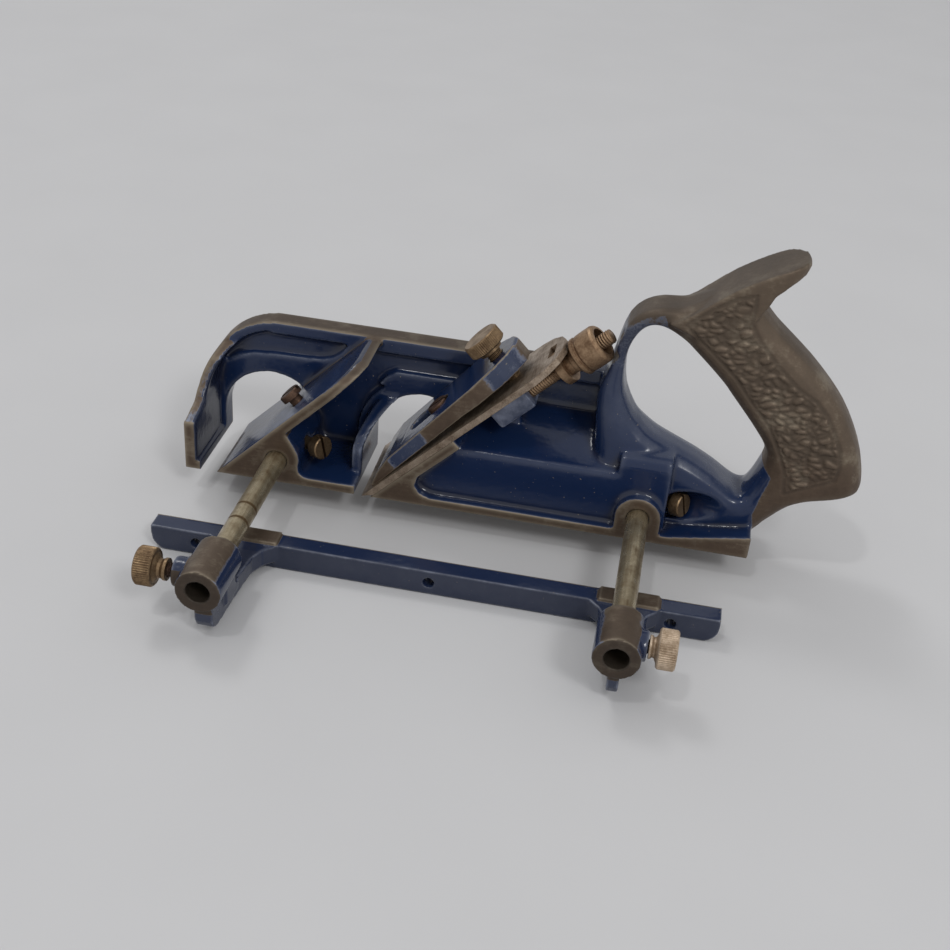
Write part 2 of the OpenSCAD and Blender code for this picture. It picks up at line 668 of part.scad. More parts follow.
module adjusting_nut() color("#94714d") {
    on_bed(0) translate([0, stud_y, -stud_drop]) rotate([0, 90, 0]) difference() {
        union() {
            translate([0, 0, nut_u0]) cylinder(d = nut_flange_d, h = flange_t);
            translate([0, 0, nut_u0]) cylinder(d = stud_d + 2.8, h = nut_body_u - nut_u0 + 1);
            translate([0, 0, nut_body_u - 2.2]) cylinder(d = stud_d + 4, h = 2.4);
            translate([0, 0, nut_body_u]) rotate_extrude() polygon([[0, 0], [nut_r - 0.5, 0],
                [nut_r, 0.5], [nut_r, 1.5], [nut_r - 0.5, 1.9], [nut_r - 0.5, 2.3],
                [nut_r - 0.1, 2.9], [nut_r, 4.4], [nut_r, nut_len - 1.4],
                [nut_r - 0.4, nut_len - 0.5], [nut_r - 1, nut_len], [0, nut_len]]);
        }
        translate([0, 0, nut_u0 - 1]) cylinder(r = nut_bore_r, h = stud_end_u - nut_u0 + 5);
        translate([0, 0, nut_body_u + nut_len - 4]) cylinder(r = nut_r - 1.9, h = 5);
    }
}

// plain rod with a rounded end and fine scale grooves
module rod(x) {
    translate([x, rod_far_y, rod_z]) rotate([90, 0, 0]) rotate_extrude() polygon(concat([[0, 0],
        [rod_r - 0.6, 0], [rod_r, 0.6], [rod_r, rod_len - 0.8], [rod_r - 0.8, rod_len],
        [0, rod_len]]));
}

module front_rod() color("#8a8570") {
    difference() {
        rod(front_rod_x);
        for (i = [0:1]) side(near_y - 35.3 - 9.2 * i, near_y - 35 - 9.2 * i)
            translate([front_rod_x, rod_z]) difference() {
                circle(r = rod_r + 1);
                circle(r = rod_r - 0.25);
            }
    }
}

module rear_rod() color("#8a8570") {
    rod(rear_rod_x);
}

module set_screw(x) {
    on_set_screw(x) {
        translate([0, 0, set_tip]) cylinder(d = set_screw_d, h = set_head_at - set_tip + 0.1);
        translate([0, 0, set_head_at]) slotted_head(set_head_d, set_head_t);
    }
}

module front_rod_screw() color("#a08560") {
    set_screw(front_rod_x);
}

module rear_rod_screw() color("#a08560") {
    set_screw(rear_rod_x);
}

// fence bar seen from the side, lower end corners rounded
module bar_outline() {
    x0 = fence_mid_x - fence_len / 2;
    r = fence_h * 0.6;
    intersection() {
        translate([x0, fence_top - fence_h]) square([fence_len, fence_h]);
        union() {
            translate([x0, fence_top - fence_h + r]) square([fence_len, fence_h]);
            translate([x0 + r, fence_top - fence_h]) square([fence_len - 2 * r, fence_h]);
            translate([x0 + r, fence_top - fence_h + r]) circle(r = r);
            translate([x0 + fence_len - r, fence_top - fence_h + r]) circle(r = r);
        }
    }
}

module fence_arm(x, lug, reach, out, fin_more) {
    end_y = boss_near_y - out;
    // boss on the rod
    side(end_y, boss_far_y) translate([x, rod_z]) circle(d = boss_d);
    // lug that takes the thumbscrew
    translate([x, lug_y - out, rod_z]) rotate([0, lug * 90, 0]) cylinder(d = 10.5, h = reach);
    // neck between boss and arm
    side(boss_far_y - 9, boss_far_y) translate([x - 5.5, fence_top - 3]) square([11, rod_z - fence_top + 3]);
    // flared arm from the bar out under the boss
    translate([0, 0, fence_top - 7]) linear_extrude(height = 7) polygon([[x - 13, bar_near_y + 0.5],
        [x - 8.5, bar_near_y - 4], [x - 6, bar_near_y - 9], [x - 4.6, boss_far_y + 1.4],
        [x + 4.6, boss_far_y + 1.4], [x + 6, bar_near_y - 9], [x + 8.5, bar_near_y - 4],
        [x + 13, bar_near_y + 0.5]]);
    translate([0, 0, fence_top - 4]) linear_extrude(height = 4) polygon([[x - 5.5, boss_far_y + 3],
        [x - 5.5, boss_far_y - 6], [x + 5.5, boss_far_y - 6], [x + 5.5, boss_far_y + 3]]);
    // gusset fin below
    across(x - fin_t / 2, x + fin_t / 2 + fin_more) polygon([[end_y + 1, rod_z - boss_d / 2 + 1],
        [end_y + 1.2, -3], [end_y + 2.4, -5.6], [end_y + 4.4, -7.2], [end_y + 7, -7.8],
        [bar_near_y + 1, fence_top - fence_h + 0.6], [bar_near_y + 1, fence_top - 2],
        [boss_far_y, fence_top - 2], [boss_far_y - 2, rod_z - boss_d / 2 + 1]]);
    // raised pad on the bar under the rod
    translate([x - 9, bar_near_y, fence_top - 0.5]) cube([21, fence_w, pad_t + 0.5]);
}

module fence() color("#1f2c55") {
    difference() {
        union() {
            side(bar_near_y, fence_face_y) bar_outline();
            fence_arm(front_rod_x, -1, front_lug, front_boss_out, front_fin_more);
            fence_arm(rear_rod_x, 1, rear_lug, 0, 0);
        }
        for (x = [front_rod_x, rear_rod_x])
            side(boss_near_y - front_boss_out - 1, boss_far_y + 1) translate([x, rod_z])
                circle(r = rod_r + fit);
        translate([front_rod_x, lug_y - front_boss_out, rod_z]) rotate([0, -90, 0])
            cylinder(r = fence_screw_d / 2 + fit, h = 30);
        translate([rear_rod_x, lug_y, rod_z]) rotate([0, 90, 0])
            cylinder(r = fence_screw_d / 2 + fit, h = 30);
        // screw holes for a wooden facing
        for (x = [-facing_spacing / 2, 0, facing_spacing / 2])
            side(bar_near_y - 1, fence_face_y + 1)
                translate([fence_mid_x + x, fence_top - fence_h / 2]) circle(d = facing_hole_d);
    }
}

// threaded shank of a fence thumbscrew, tip beside the rod
module fence_shank(at) {
    translate([0, 0, screw_tip]) cylinder(d = fence_screw_d, h = at + knob_grip - screw_tip);
}

// turned and knurled head, bored for the shank
module fence_head(at, neck) {
    difference() {
        union() {
            translate([0, 0, at + neck]) knurled(fence_knob_d, fence_knob_t, 52);
            translate([0, 0, at]) rotate_extrude() polygon([[0, 0], [3.9, 0], [3.9, neck * 0.24],
                [3.3, neck * 0.48], [3.5, neck * 0.7], [fence_knob_d / 2 - 1.4, neck + 0.1],
                [0, neck + 0.1]]);
        }
        translate([0, 0, at - 1]) cylinder(r = fence_screw_d / 2 + fit, h = 1 + knob_grip);
    }
}

module at_front_lug() {
    translate([front_rod_x, lug_y - front_boss_out, rod_z]) rotate([0, -90, 0]) children();
}

module at_rear_lug() {
    translate([rear_rod_x, lug_y, rod_z]) rotate([0, 90, 0]) children();
}

module front_fence_knob() color("#a08560") {
    at_front_lug() fence_head(front_knob_at, front_neck);
}

module front_fence_screw() color("#6d6455") {
    at_front_lug() fence_shank(front_knob_at);
}

module rear_fence_knob() color("#c9b79a") {
    at_rear_lug() fence_head(rear_knob_at, rear_neck);
}

module rear_fence_screw() color("#6d6455") {
    at_rear_lug() fence_shank(rear_knob_at);
}

module depth_gauge() color("#6d6455") {
    x0 = gauge_x - gauge_w / 2;
    difference() {
        union() {
            translate([x0, far_y, gauge_bottom]) cube([gauge_w, gauge_t, gauge_h]);
            translate([x0, far_y, gauge_bottom]) cube([gauge_w, gauge_foot, 3]);
        }
        side(far_y - 1, far_y + gauge_t + 1) {
            translate([gauge_x - gauge_slot_r, gauge_bottom + 7])
                square([2 * gauge_slot_r, gauge_h - 14]);
            translate([gauge_x, gauge_bottom + 7]) circle(r = gauge_slot_r);
            translate([gauge_x, gauge_bottom + gauge_h - 7]) circle(r = gauge_slot_r);
        }
    }
}

module depth_gauge_screw() color("#a08560") {
    translate([gauge_x, far_y, gauge_z]) rotate([-90, 0, 0]) {
        translate([0, 0, -11]) cylinder(d = gauge_screw_d, h = gauge_t + 11.1);
        translate([0, 0, gauge_t]) slotted_head(10, 4);
    }
}

// three-pointed spur let into the right side, points clear of the sole at rest
module spur() color("#8f8a7c") {
    side(spur_in_y, spur_in_y + spur_t) translate([spur_x, spur_z]) difference() {
        union() {
            circle(d = 8.4);
            for (a = [90, 210, 330]) rotate(a) polygon([[0, -3.6], [spur_r - 1, -1], [spur_r, 0.6],
                [spur_r - 1, 2], [0, 3.6]]);
        }
        circle(r = spur_screw_d / 2 + fit);
    }
}

module spur_screw() color("#6d6455") {
    translate([spur_x, spur_in_y + spur_t, spur_z]) rotate([-90, 0, 0]) {
        translate([0, 0, -spur_t - spur_hold]) cylinder(d = spur_screw_d, h = spur_t + spur_hold + 0.1);
        difference() {
            cylinder(d = 6.8, h = spur_head_t);
            translate([-5, -0.5, spur_head_t * 0.4]) cube([10, 1, 2]);
        }
    }
}

placed() body();
placed() cutter();
placed() lever_cap();
placed() cap_thumb_knob();
placed() cap_thumb_shank();
placed() main_cap_screw();
placed() front_cap_screw();
placed() adjusting_stud();
placed() adjusting_nut();
placed() front_rod();
placed() rear_rod();
placed() front_rod_screw();
placed() rear_rod_screw();
placed() fence();
placed() front_fence_knob();
placed() front_fence_screw();
placed() rear_fence_knob();
placed() rear_fence_screw();
placed() depth_gauge();
placed() depth_gauge_screw();
placed() spur();
placed() spur_screw();
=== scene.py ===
"""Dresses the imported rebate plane: soft cast shapes, worn enamel, bare iron, steel and brass."""

import math

import bmesh
import bpy
import numpy as np
from bpy.props import FloatProperty, FloatVectorProperty, IntProperty, PointerProperty
from mathutils import Matrix, Vector, noise


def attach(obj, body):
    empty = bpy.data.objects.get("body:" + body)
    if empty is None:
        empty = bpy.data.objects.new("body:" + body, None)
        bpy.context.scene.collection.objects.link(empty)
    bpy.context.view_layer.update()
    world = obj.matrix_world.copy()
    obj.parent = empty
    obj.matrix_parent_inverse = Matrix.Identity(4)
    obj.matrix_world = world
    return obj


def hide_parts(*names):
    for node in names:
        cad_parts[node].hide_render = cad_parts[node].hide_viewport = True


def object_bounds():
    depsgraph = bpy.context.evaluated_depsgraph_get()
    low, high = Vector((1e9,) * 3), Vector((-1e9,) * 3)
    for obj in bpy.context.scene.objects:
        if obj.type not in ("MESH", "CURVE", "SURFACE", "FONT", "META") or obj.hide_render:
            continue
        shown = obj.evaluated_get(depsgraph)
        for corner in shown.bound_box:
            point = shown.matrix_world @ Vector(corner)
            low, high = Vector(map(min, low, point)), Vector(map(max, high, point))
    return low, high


bl_info = {
    "name": "Rebate plane finish",
    "version": (1, 0, 0),
    "blender": (4, 5, 0),
    "location": "View3D > Sidebar > Plane",
    "description": "Castings, threads, finishes and stage of a cast-iron rebate plane",
    "category": "Object",
}

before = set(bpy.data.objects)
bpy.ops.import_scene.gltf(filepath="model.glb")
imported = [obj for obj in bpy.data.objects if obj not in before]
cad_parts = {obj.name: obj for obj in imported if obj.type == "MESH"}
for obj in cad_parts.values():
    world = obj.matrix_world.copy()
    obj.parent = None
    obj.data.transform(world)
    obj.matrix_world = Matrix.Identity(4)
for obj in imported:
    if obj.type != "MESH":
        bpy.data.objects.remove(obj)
CAD_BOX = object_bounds()
MM = 0.001
# Lengths below are in mm unless they say metres. x runs from the main bed line, z from the sole.
# the main bed line lies this far from the middle of the sole
BED_LINE_X = -34.5
# half of the width of the sole
HALF_WIDTH = 19
# the front bed line, and the middle of the round of the nose
FRONT_BED_X = -60.6
NOSE_X = -44
NOSE_Z = 23.3
# the handle loop begins here
LOOP_X = 77
# front edge of the bare metal of the grip, x over height
GRIP_EDGE_Z = (0, 6, 14, 30, 36, 46, 70, 90)
GRIP_EDGE_X = (143, 142.6, 141, 145, 138, 118, 106, 97)
# ground face of the fence bar
FENCE_FACE_Y = -49.5
# axes of the two rods
ROD_X = (-36.9, 100.3)
ROD_Z = 9.5
# the bores are opened a touch over the rods' radius of 4; faces within the wall radius are bore
BORE_RADIUS = 4.12
BORE_WALL = 4.6
# places along y of the two scale lines on the front rod
ROD_MARKS = (-54.15, -63.35)
# both beds slope at 45 degrees
SLOPE = 0.7071
ALONG_BED = Vector((1, 0, 1)).normalized()
OFF_BED = Vector((-1, 0, 1)).normalized()

# repeats of each pattern in a metre, so 1000 over the value is its size in mm
PATCHES = 140
CHIPS = 900
GRAINS = 2600
CLOUDS = 80
GRINDING_LINES = 1400
DUST_SPECKS = 1100
RIPPLES = 330
TARNISH_PATCHES = 200
FLOOR_CLOUDS = 16

# sides and rings of a cut thread, its lead-in at both ends and how flat its crests are
THREAD_SIDES = 36
RINGS_PER_PITCH = 8
LEAD_IN = 0.5
CREST_POWER = 0.8

# half of the side of the floor, metres
FLOOR_REACH = 4.0
SKY_COLOUR = "#fcfcfd"
SKY_STRENGTH = 0.6
# square lamps aimed at the middle of the sole: name, place and side in metres, watts
LAMPS = (
    ("window", (-1.1, 1.0, 2.2), 0.6, 9),
    ("room", (1.1, -1.4, 1.7), 0.5, 13),
    ("ceiling", (-0.4, -0.8, 1.9), 0.14, 4),
)
# the camera solved from the edges of the sole, the throats and the rods: place in metres, axes
EYE_PLACE = Vector((0.06227, -0.43676, 0.28588))
EYE_RIGHT = Vector((0.98085, 0.18113, 0.07156))
EYE_UP = Vector((-0.15710, 0.51867, 0.84042))
EYE_BACK = Vector((0.11511, -0.83557, 0.53719))
# sensor and focal length of the camera, mm
SENSOR = 36
FOCAL_LENGTH = 51.5


def linear(code):
    """Turns an sRGB hex colour into linear RGBA."""
    channels = [int(code[i:i + 2], 16) / 255 for i in (1, 3, 5)]
    out = [c / 12.92 if c <= 0.04045 else ((c + 0.055) / 1.055) ** 2.4 for c in channels]
    return tuple(out) + (1.0,)


def colour(name, text, code):
    """A colour property with its default given as a hex value."""
    return FloatVectorProperty(name=name, description=text, subtype="COLOR", size=4,
                               min=0, max=1, default=linear(code))


def length(name, text, millimetres):
    """A length property with its default given in millimetres."""
    return FloatProperty(name=name, description=text, unit="LENGTH", precision=5,
                         min=0, default=millimetres * MM)


class CastingSizes(bpy.types.PropertyGroup):
    """How finely the castings are meshed and how far their edges are softened."""
    body_grid: length("Body grid", "Spacing of the faces of the body casting", 0.65)
    fence_grid: length("Fence grid", "Spacing of the faces of the fence casting", 0.5)
    cap_grid: length("Lever cap grid", "Spacing of the faces of the lever cap", 0.36)
    fillet_passes: IntProperty(name="Fillet passes", min=0, max=30, default=7,
                               description="Rounds of smoothing that give the cast fillets")
    pebble_length: length("Pebble length", "Long way of one pebble of the handle panel", 3.9)
    pebble_width: length("Pebble width", "Short way of one pebble of the handle panel", 2.3)
    pebble_height: length("Pebble height", "How far the pebbles stand off their grooves", 1.1)


class ThreadSizes(bpy.types.PropertyGroup):
    """Pitches and depth of the screw threads."""
    stud_pitch: length("Stud pitch", "Thread pitch of the adjusting stud", 1.0)
    cap_pitch: length("Cap screw pitch", "Thread pitch of the lever cap thumbscrew", 1.0)
    fence_pitch: length("Fence screw pitch", "Thread pitch of the fence thumbscrews", 0.8)
    depth: length("Thread depth", "Depth of the thread grooves", 0.38)
    worn_depth: length("Worn thread depth", "Depth of the worn thread of the stud", 0.22)


class FinishColours(bpy.types.PropertyGroup):
    """Colours of the finishes."""
    enamel: colour("Enamel", "Dark blue enamel", "#152647")
    # the faded and thin film colours are worn enamel, and also painted highlight and sheen on
    # edges and rims
    enamel_faded_and_lit: colour("Faded enamel", "Enamel where it is rubbed and dusty", "#3f475c")
    enamel_thin_and_lit: colour("Thin enamel", "Enamel worn thin on its edges", "#757c8f")
    # this colour is oily dirt and also painted shade in corners, creases and grooves
    grime_and_shade: colour("Grime", "Oily dirt in corners and hollows", "#26221f")
    iron: colour("Bare iron", "Browned bare cast iron", "#5d4e41")
    iron_dark: colour("Dark iron", "Darker clouds on the bare iron", "#493c32")
    iron_bright: colour("Bright iron", "Ground and rubbed iron", "#9c917e")
    steel: colour("Tool steel", "Ground tool steel of the cutter", "#a59584")
    steel_dark: colour("Tarnished steel", "Tarnish on the cutter", "#5a4837")
    rod: colour("Rod steel", "Drawn steel of the fence rods", "#aa9e84")
    rod_dark: colour("Rod tarnish", "Brown tarnish on the rods", "#69563c")
    screw: colour("Screw steel", "Dark steel of the screws", "#6e5647")
    screw_dark: colour("Screw tarnish", "Grime on the screws", "#352822")
    brass: colour("Brass", "Dull turned brass", "#988062")
    brass_dark: colour("Brass tarnish", "Brown tarnish on the brass", "#564230")
    nut: colour("Nut brass", "Browned metal of the adjusting nut and stud", "#a3886c")
    nut_dark: colour("Nut tarnish", "Dark tarnish on the adjusting nut and stud", "#654c38")
    pale_brass: colour("Pale brass", "Rubbed brass of the rear fence knob", "#cdb9a2")
    pale_brass_dark: colour("Pale brass tarnish", "Tarnish on the rear fence knob", "#8d775f")
    floor: colour("Floor", "Pale floor and backdrop", "#c5c5c6")


class PlaneSettings(bpy.types.PropertyGroup):
    """All sizes and colours of the dressed plane."""
    casting: PointerProperty(type=CastingSizes)
    thread: PointerProperty(type=ThreadSizes)
    colours: PointerProperty(type=FinishColours)


def settings():
    """The settings kept on the scene."""
    return bpy.context.scene.rebate_plane


def add(tree, kind, values=None, links=None, **options):
    """Adds a node with its options, input values and incoming links."""
    node = tree.nodes.new(kind)
    for key, value in options.items():
        setattr(node, key, value)
    for key, value in (values or {}).items():
        node.inputs[key].default_value = value
    for key, socket in (links or {}).items():
        tree.links.new(socket, node.inputs[key])
    return node


def new_material(name):
    """An empty material; returns it, its tree and its shader."""
    material = bpy.data.materials.new(name)
    material.use_nodes = True
    tree = material.node_tree
    tree.nodes.clear()
    shader = add(tree, "ShaderNodeBsdfPrincipled")
    add(tree, "ShaderNodeOutputMaterial", links={"Surface": shader.outputs[0]})
    return material, tree, shader


def enamelled_iron(name):
    """Sand-cast iron, stove-enamelled blue, worn to bare metal on ground faces and edges.

    The eye sees a glossy dark film with a soft ripple, a broken edge where the film has gone,
    and browned granular metal below it.
    """
    tint = settings().colours
    material, tree, shader = new_material(name)
    place = add(tree, "ShaderNodeTexCoord").outputs["Object"]
    bare = add(tree, "ShaderNodeAttribute", attribute_name="bare")
    hollow = add(tree, "ShaderNodeAttribute", attribute_name="hollow")
    rubbed = add(tree, "ShaderNodeAttribute", attribute_name="rubbed")
    # the film goes in patches with chipped edges, most where the mesh says that it is bare
    patch = add(tree, "ShaderNodeTexNoise", {"Scale": PATCHES, "Detail": 4, "Roughness": 0.6},
                {"Vector": place})
    chip = add(tree, "ShaderNodeTexNoise", {"Scale": CHIPS, "Detail": 3, "Roughness": 0.7},
               {"Vector": place})
    speck = add(tree, "ShaderNodeTexNoise", {"Scale": GRAINS, "Detail": 2}, {"Vector": place})
    spread = add(tree, "ShaderNodeMath", {1: 0.55}, {0: patch.outputs[0], 2: bare.outputs["Fac"]},
                 operation="MULTIPLY_ADD")
    broken = add(tree, "ShaderNodeMath", {1: 0.4}, {0: chip.outputs[0], 2: spread.outputs[0]},
                 operation="MULTIPLY_ADD")
    mask = add(tree, "ShaderNodeMapRange", {"From Min": 0.93, "From Max": 1.06},
               {"Value": broken.outputs[0]})
    # the film fades near worn places and where hands and work have rubbed it; on edges this
    # lighter film is also a painted highlight
    near = add(tree, "ShaderNodeMapRange", {"From Min": 0.7, "From Max": 1.0, "To Max": 0.8},
               {"Value": broken.outputs[0]})
    uneven = add(tree, "ShaderNodeMath", {1: 1.5}, {0: patch.outputs[0]}, operation="MULTIPLY")
    worn = add(tree, "ShaderNodeMath", links={0: rubbed.outputs["Fac"], 1: uneven.outputs[0],
               2: near.outputs[0]}, operation="MULTIPLY_ADD", use_clamp=True)
    film = add(tree, "ShaderNodeValToRGB", links={"Fac": worn.outputs[0]})
    film.color_ramp.elements[0].color = tint.enamel
    film.color_ramp.elements[1].color = tint.enamel_thin_and_lit
    film.color_ramp.elements.new(0.6).color = tint.enamel_faded_and_lit
    # the bare metal has brown clouds and grinding lines along the plane
    brown = add(tree, "ShaderNodeTexNoise", {"Scale": CLOUDS, "Detail": 6, "Roughness": 0.7},
                {"Vector": place})
    lengthways = add(tree, "ShaderNodeMapping", {"Scale": (0.05, 1, 1)}, {"Vector": place})
    lines = add(tree, "ShaderNodeTexNoise", {"Scale": GRINDING_LINES, "Detail": 2},
                {"Vector": lengthways.outputs[0]})
    ground = add(tree, "ShaderNodeMath", {1: 0.18}, {0: lines.outputs[0], 2: brown.outputs[0]},
                 operation="MULTIPLY_ADD")
    metal = add(tree, "ShaderNodeValToRGB", links={"Fac": ground.outputs[0]})
    metal.color_ramp.elements[0].color = tint.iron_dark
    metal.color_ramp.elements[0].position = 0.3
    metal.color_ramp.elements[1].color = tint.iron
    metal.color_ramp.elements[1].position = 0.62
    metal.color_ramp.elements.new(1.0).color = tint.iron_bright
    # rubbed bare metal goes brighter: wear, and a painted glint on the edges
    polish_and_glint = add(tree, "ShaderNodeMath", {1: 0.6}, {0: rubbed.outputs["Fac"]},
                 operation="MULTIPLY")
    bright = add(tree, "ShaderNodeMix", {"B": tint.iron_bright},
                 {"Factor": polish_and_glint.outputs[0], "A": metal.outputs[0]}, data_type="RGBA")
    # fine dust lies on the film
    dust = add(tree, "ShaderNodeTexNoise", {"Scale": DUST_SPECKS, "Detail": 1}, {"Vector": place})
    dulling = add(tree, "ShaderNodeMapRange", {"From Min": 0.765, "From Max": 0.8, "To Max": 0.5},
                {"Value": dust.outputs[0]})
    dulled = add(tree, "ShaderNodeMix", {"B": tint.iron_bright},
                 {"Factor": dulling.outputs[0], "A": film.outputs[0]}, data_type="RGBA")
    surface = add(tree, "ShaderNodeMix", links={"Factor": mask.outputs[0], "A": dulled.outputs[2],
                  "B": bright.outputs[2]}, data_type="RGBA")
    # oily dirt and painted shade darken film and metal alike
    grime_and_shade = add(tree, "ShaderNodeMath", {1: 0.75}, {0: hollow.outputs["Fac"]},
                operation="MULTIPLY", use_clamp=True)
    base = add(tree, "ShaderNodeMix", {"B": tint.grime_and_shade},
               {"Factor": grime_and_shade.outputs[0], "A": surface.outputs[2]}, data_type="RGBA")
    tree.links.new(base.outputs[2], shader.inputs["Base Color"])
    shine = add(tree, "ShaderNodeMath", {1: 0.6}, {0: mask.outputs[0]}, operation="MULTIPLY")
    tree.links.new(shine.outputs[0], shader.inputs["Metallic"])
    gloss = add(tree, "ShaderNodeMapRange", {"To Min": 0.08, "To Max": 0.34},
                {"Value": worn.outputs[0]})
    matt = add(tree, "ShaderNodeMix", {"B": 0.42}, {"Factor": mask.outputs[0],
               "A": gloss.outputs[0]}, data_type="FLOAT")
    rough = add(tree, "ShaderNodeMath", {1: 0.16}, {0: chip.outputs[0], 2: matt.outputs[0]},
                operation="MULTIPLY_ADD")
    tree.links.new(rough.outputs[0], shader.inputs["Roughness"])
    # ripple of the film, sand grain of the bare casting, and the step at the film's edge
    ripple = add(tree, "ShaderNodeTexNoise", {"Scale": RIPPLES, "Detail": 1}, {"Vector": place})
    grain = add(tree, "ShaderNodeMath", links={0: speck.outputs[0], 1: mask.outputs[0]},
                operation="MULTIPLY")
    soft = add(tree, "ShaderNodeBump", {"Strength": 0.35, "Distance": 0.2 * MM},
               {"Height": ripple.outputs[0]})
    coarse = add(tree, "ShaderNodeBump", {"Strength": 0.5, "Distance": 0.12 * MM},
                 {"Height": grain.outputs[0], "Normal": soft.outputs[0]})
    film_edge = add(tree, "ShaderNodeBump", {"Strength": 0.6, "Distance": 0.12 * MM},
                    {"Height": mask.outputs[0], "Normal": coarse.outputs[0]}, invert=True)
    tree.links.new(film_edge.outputs[0], shader.inputs["Normal"])
    return material


def tarnished_metal(name, clean, dark, stretch=(1, 1, 1), line_mm=0.4, rough=0.36, metallic=0.85,
                    edge_mm=0.25, bands_mm=()):
    """Worked metal, dulled by age.

    The eye sees fine tool marks along one way, tarnish in patches, painted shade in the hollows
    and a soft glint on the edges. bands_mm are the places along y of dark rings.
    """
    material, tree, shader = new_material(name)
    shader.inputs["Metallic"].default_value = metallic
    place = add(tree, "ShaderNodeTexCoord").outputs["Object"]
    drawn = add(tree, "ShaderNodeVectorMath", {1: stretch}, {0: place}, operation="MULTIPLY")
    line = add(tree, "ShaderNodeTexNoise", {"Scale": 1 / (line_mm * MM), "Detail": 3},
               {"Vector": drawn.outputs[0]})
    patch = add(tree, "ShaderNodeTexNoise",
                {"Scale": TARNISH_PATCHES, "Detail": 5, "Roughness": 0.65}, {"Vector": place})
    mixed = add(tree, "ShaderNodeMath", {1: 0.45}, {0: line.outputs[0], 2: patch.outputs[0]},
                operation="MULTIPLY_ADD")
    # painted shade in the creases from ambient occlusion darkens the metal; the scale rings are
    # real marks
    crease = add(tree, "ShaderNodeAmbientOcclusion", {"Distance": 2.2 * MM}, only_local=True,
                 samples=4)
    darkening = add(tree, "ShaderNodeMapRange", {"From Min": 0.35, "From Max": 0.9, "To Min": 0.42,
               "To Max": 0.0}, {"Value": crease.outputs["AO"]})
    axes = add(tree, "ShaderNodeSeparateXYZ", links={"Vector": place})
    for band in bands_mm:
        off = add(tree, "ShaderNodeMath", {1: band * MM}, {0: axes.outputs["Y"]},
                  operation="SUBTRACT")
        gap = add(tree, "ShaderNodeMath", links={0: off.outputs[0]}, operation="ABSOLUTE")
        ring = add(tree, "ShaderNodeMapRange", {"From Min": 0.25 * MM, "From Max": 0.9 * MM,
                   "To Min": 0.6, "To Max": 0.0}, {"Value": gap.outputs[0]})
        darkening = add(tree, "ShaderNodeMath", links={0: darkening.outputs[0], 1: ring.outputs[0]},
                   operation="MAXIMUM")
    share = add(tree, "ShaderNodeMath", links={0: mixed.outputs[0], 1: darkening.outputs[0]},
                operation="ADD")
    ramp = add(tree, "ShaderNodeValToRGB", links={"Fac": share.outputs[0]})
    ramp.color_ramp.elements[0].color = clean
    ramp.color_ramp.elements[0].position = 0.58
    ramp.color_ramp.elements[1].color = dark
    ramp.color_ramp.elements[1].position = 0.98
    tree.links.new(ramp.outputs[0], shader.inputs["Base Color"])
    matt = add(tree, "ShaderNodeMapRange", {"From Min": 0.4, "From Max": 1.0,
               "To Min": rough - 0.06, "To Max": rough + 0.2}, {"Value": share.outputs[0]})
    tree.links.new(matt.outputs[0], shader.inputs["Roughness"])
    turned = add(tree, "ShaderNodeBevel", {"Radius": edge_mm * MM}, samples=4)
    marks = add(tree, "ShaderNodeBump", {"Strength": 0.3, "Distance": 0.08 * MM},
                {"Height": line.outputs[0], "Normal": turned.outputs[0]})
    tree.links.new(marks.outputs[0], shader.inputs["Normal"])
    return material


def dress(node, material):
    """Gives a CAD node its finish."""
    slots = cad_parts[node].data.materials
    slots.clear()
    slots.append(material)


def mesh_piece(name, points, faces, material, body):
    """A new smooth mesh piece that rides on a body."""
    mesh = bpy.data.meshes.new(name)
    mesh.from_pydata(points, [], faces)
    mesh.shade_smooth()
    mesh.materials.append(material)
    piece = bpy.data.objects.new(name, mesh)
    bpy.context.scene.collection.objects.link(piece)
    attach(piece, body)
    return piece


def even_copy(node, name, grid):
    """A copy of a CAD node with faces of one size, so that its edges can be softened."""
    piece = bpy.data.objects.new(name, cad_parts[node].data.copy())
    bpy.context.scene.collection.objects.link(piece)
    remesh = piece.modifiers.new("even", "REMESH")
    remesh.mode = "VOXEL"
    remesh.voxel_size = grid
    bpy.context.view_layer.update()
    shaped = piece.evaluated_get(bpy.context.evaluated_depsgraph_get())
    mesh = bpy.data.meshes.new_from_object(shaped)
    piece.modifiers.clear()
    first = piece.data
    piece.data = mesh
    bpy.data.meshes.remove(first)
    mesh.name = name
    return piece


def read(mesh):
    """Vertices and edges of a mesh as arrays; places in millimetres from the bed line."""
    count = len(mesh.vertices)
    points = np.empty(count * 3)
    mesh.vertices.foreach_get("co", points)
    points = points.reshape(-1, 3) / MM - (BED_LINE_X, 0, 0)
    edges = np.empty(len(mesh.edges) * 2, dtype=np.int64)
    mesh.edges.foreach_get("vertices", edges)
    return points, edges.reshape(-1, 2)


def normals_of(mesh):
    """Vertex normals as an array."""
    out = np.empty(len(mesh.vertices) * 3)
    mesh.vertices.foreach_get("normal", out)
    return out.reshape(-1, 3)


def write(mesh, points):
    """Puts points, in millimetres from the bed line, back into a mesh."""
    mesh.vertices.foreach_set("co", ((points + (BED_LINE_X, 0, 0)) * MM).ravel())
    mesh.update()


def neighbour_mean(values, edges):
    """Mean of each vertex's neighbours, column by column."""
    count = len(values)
    first, second = edges.T
    share = np.bincount(first, minlength=count) + np.bincount(second, minlength=count)
    out = np.empty_like(values)
    for column in range(values.shape[1]):
        total = np.bincount(first, values[second, column], count)
        total += np.bincount(second, values[first, column], count)
        out[:, column] = total / np.maximum(share, 1)
    return out


def soften(points, edges, weight, passes):
    """Rounds of smoothing, stronger where the weight is high."""
    for _ in range(passes):
        points = points + weight[:, None] * (neighbour_mean(points, edges) - points)
    return points


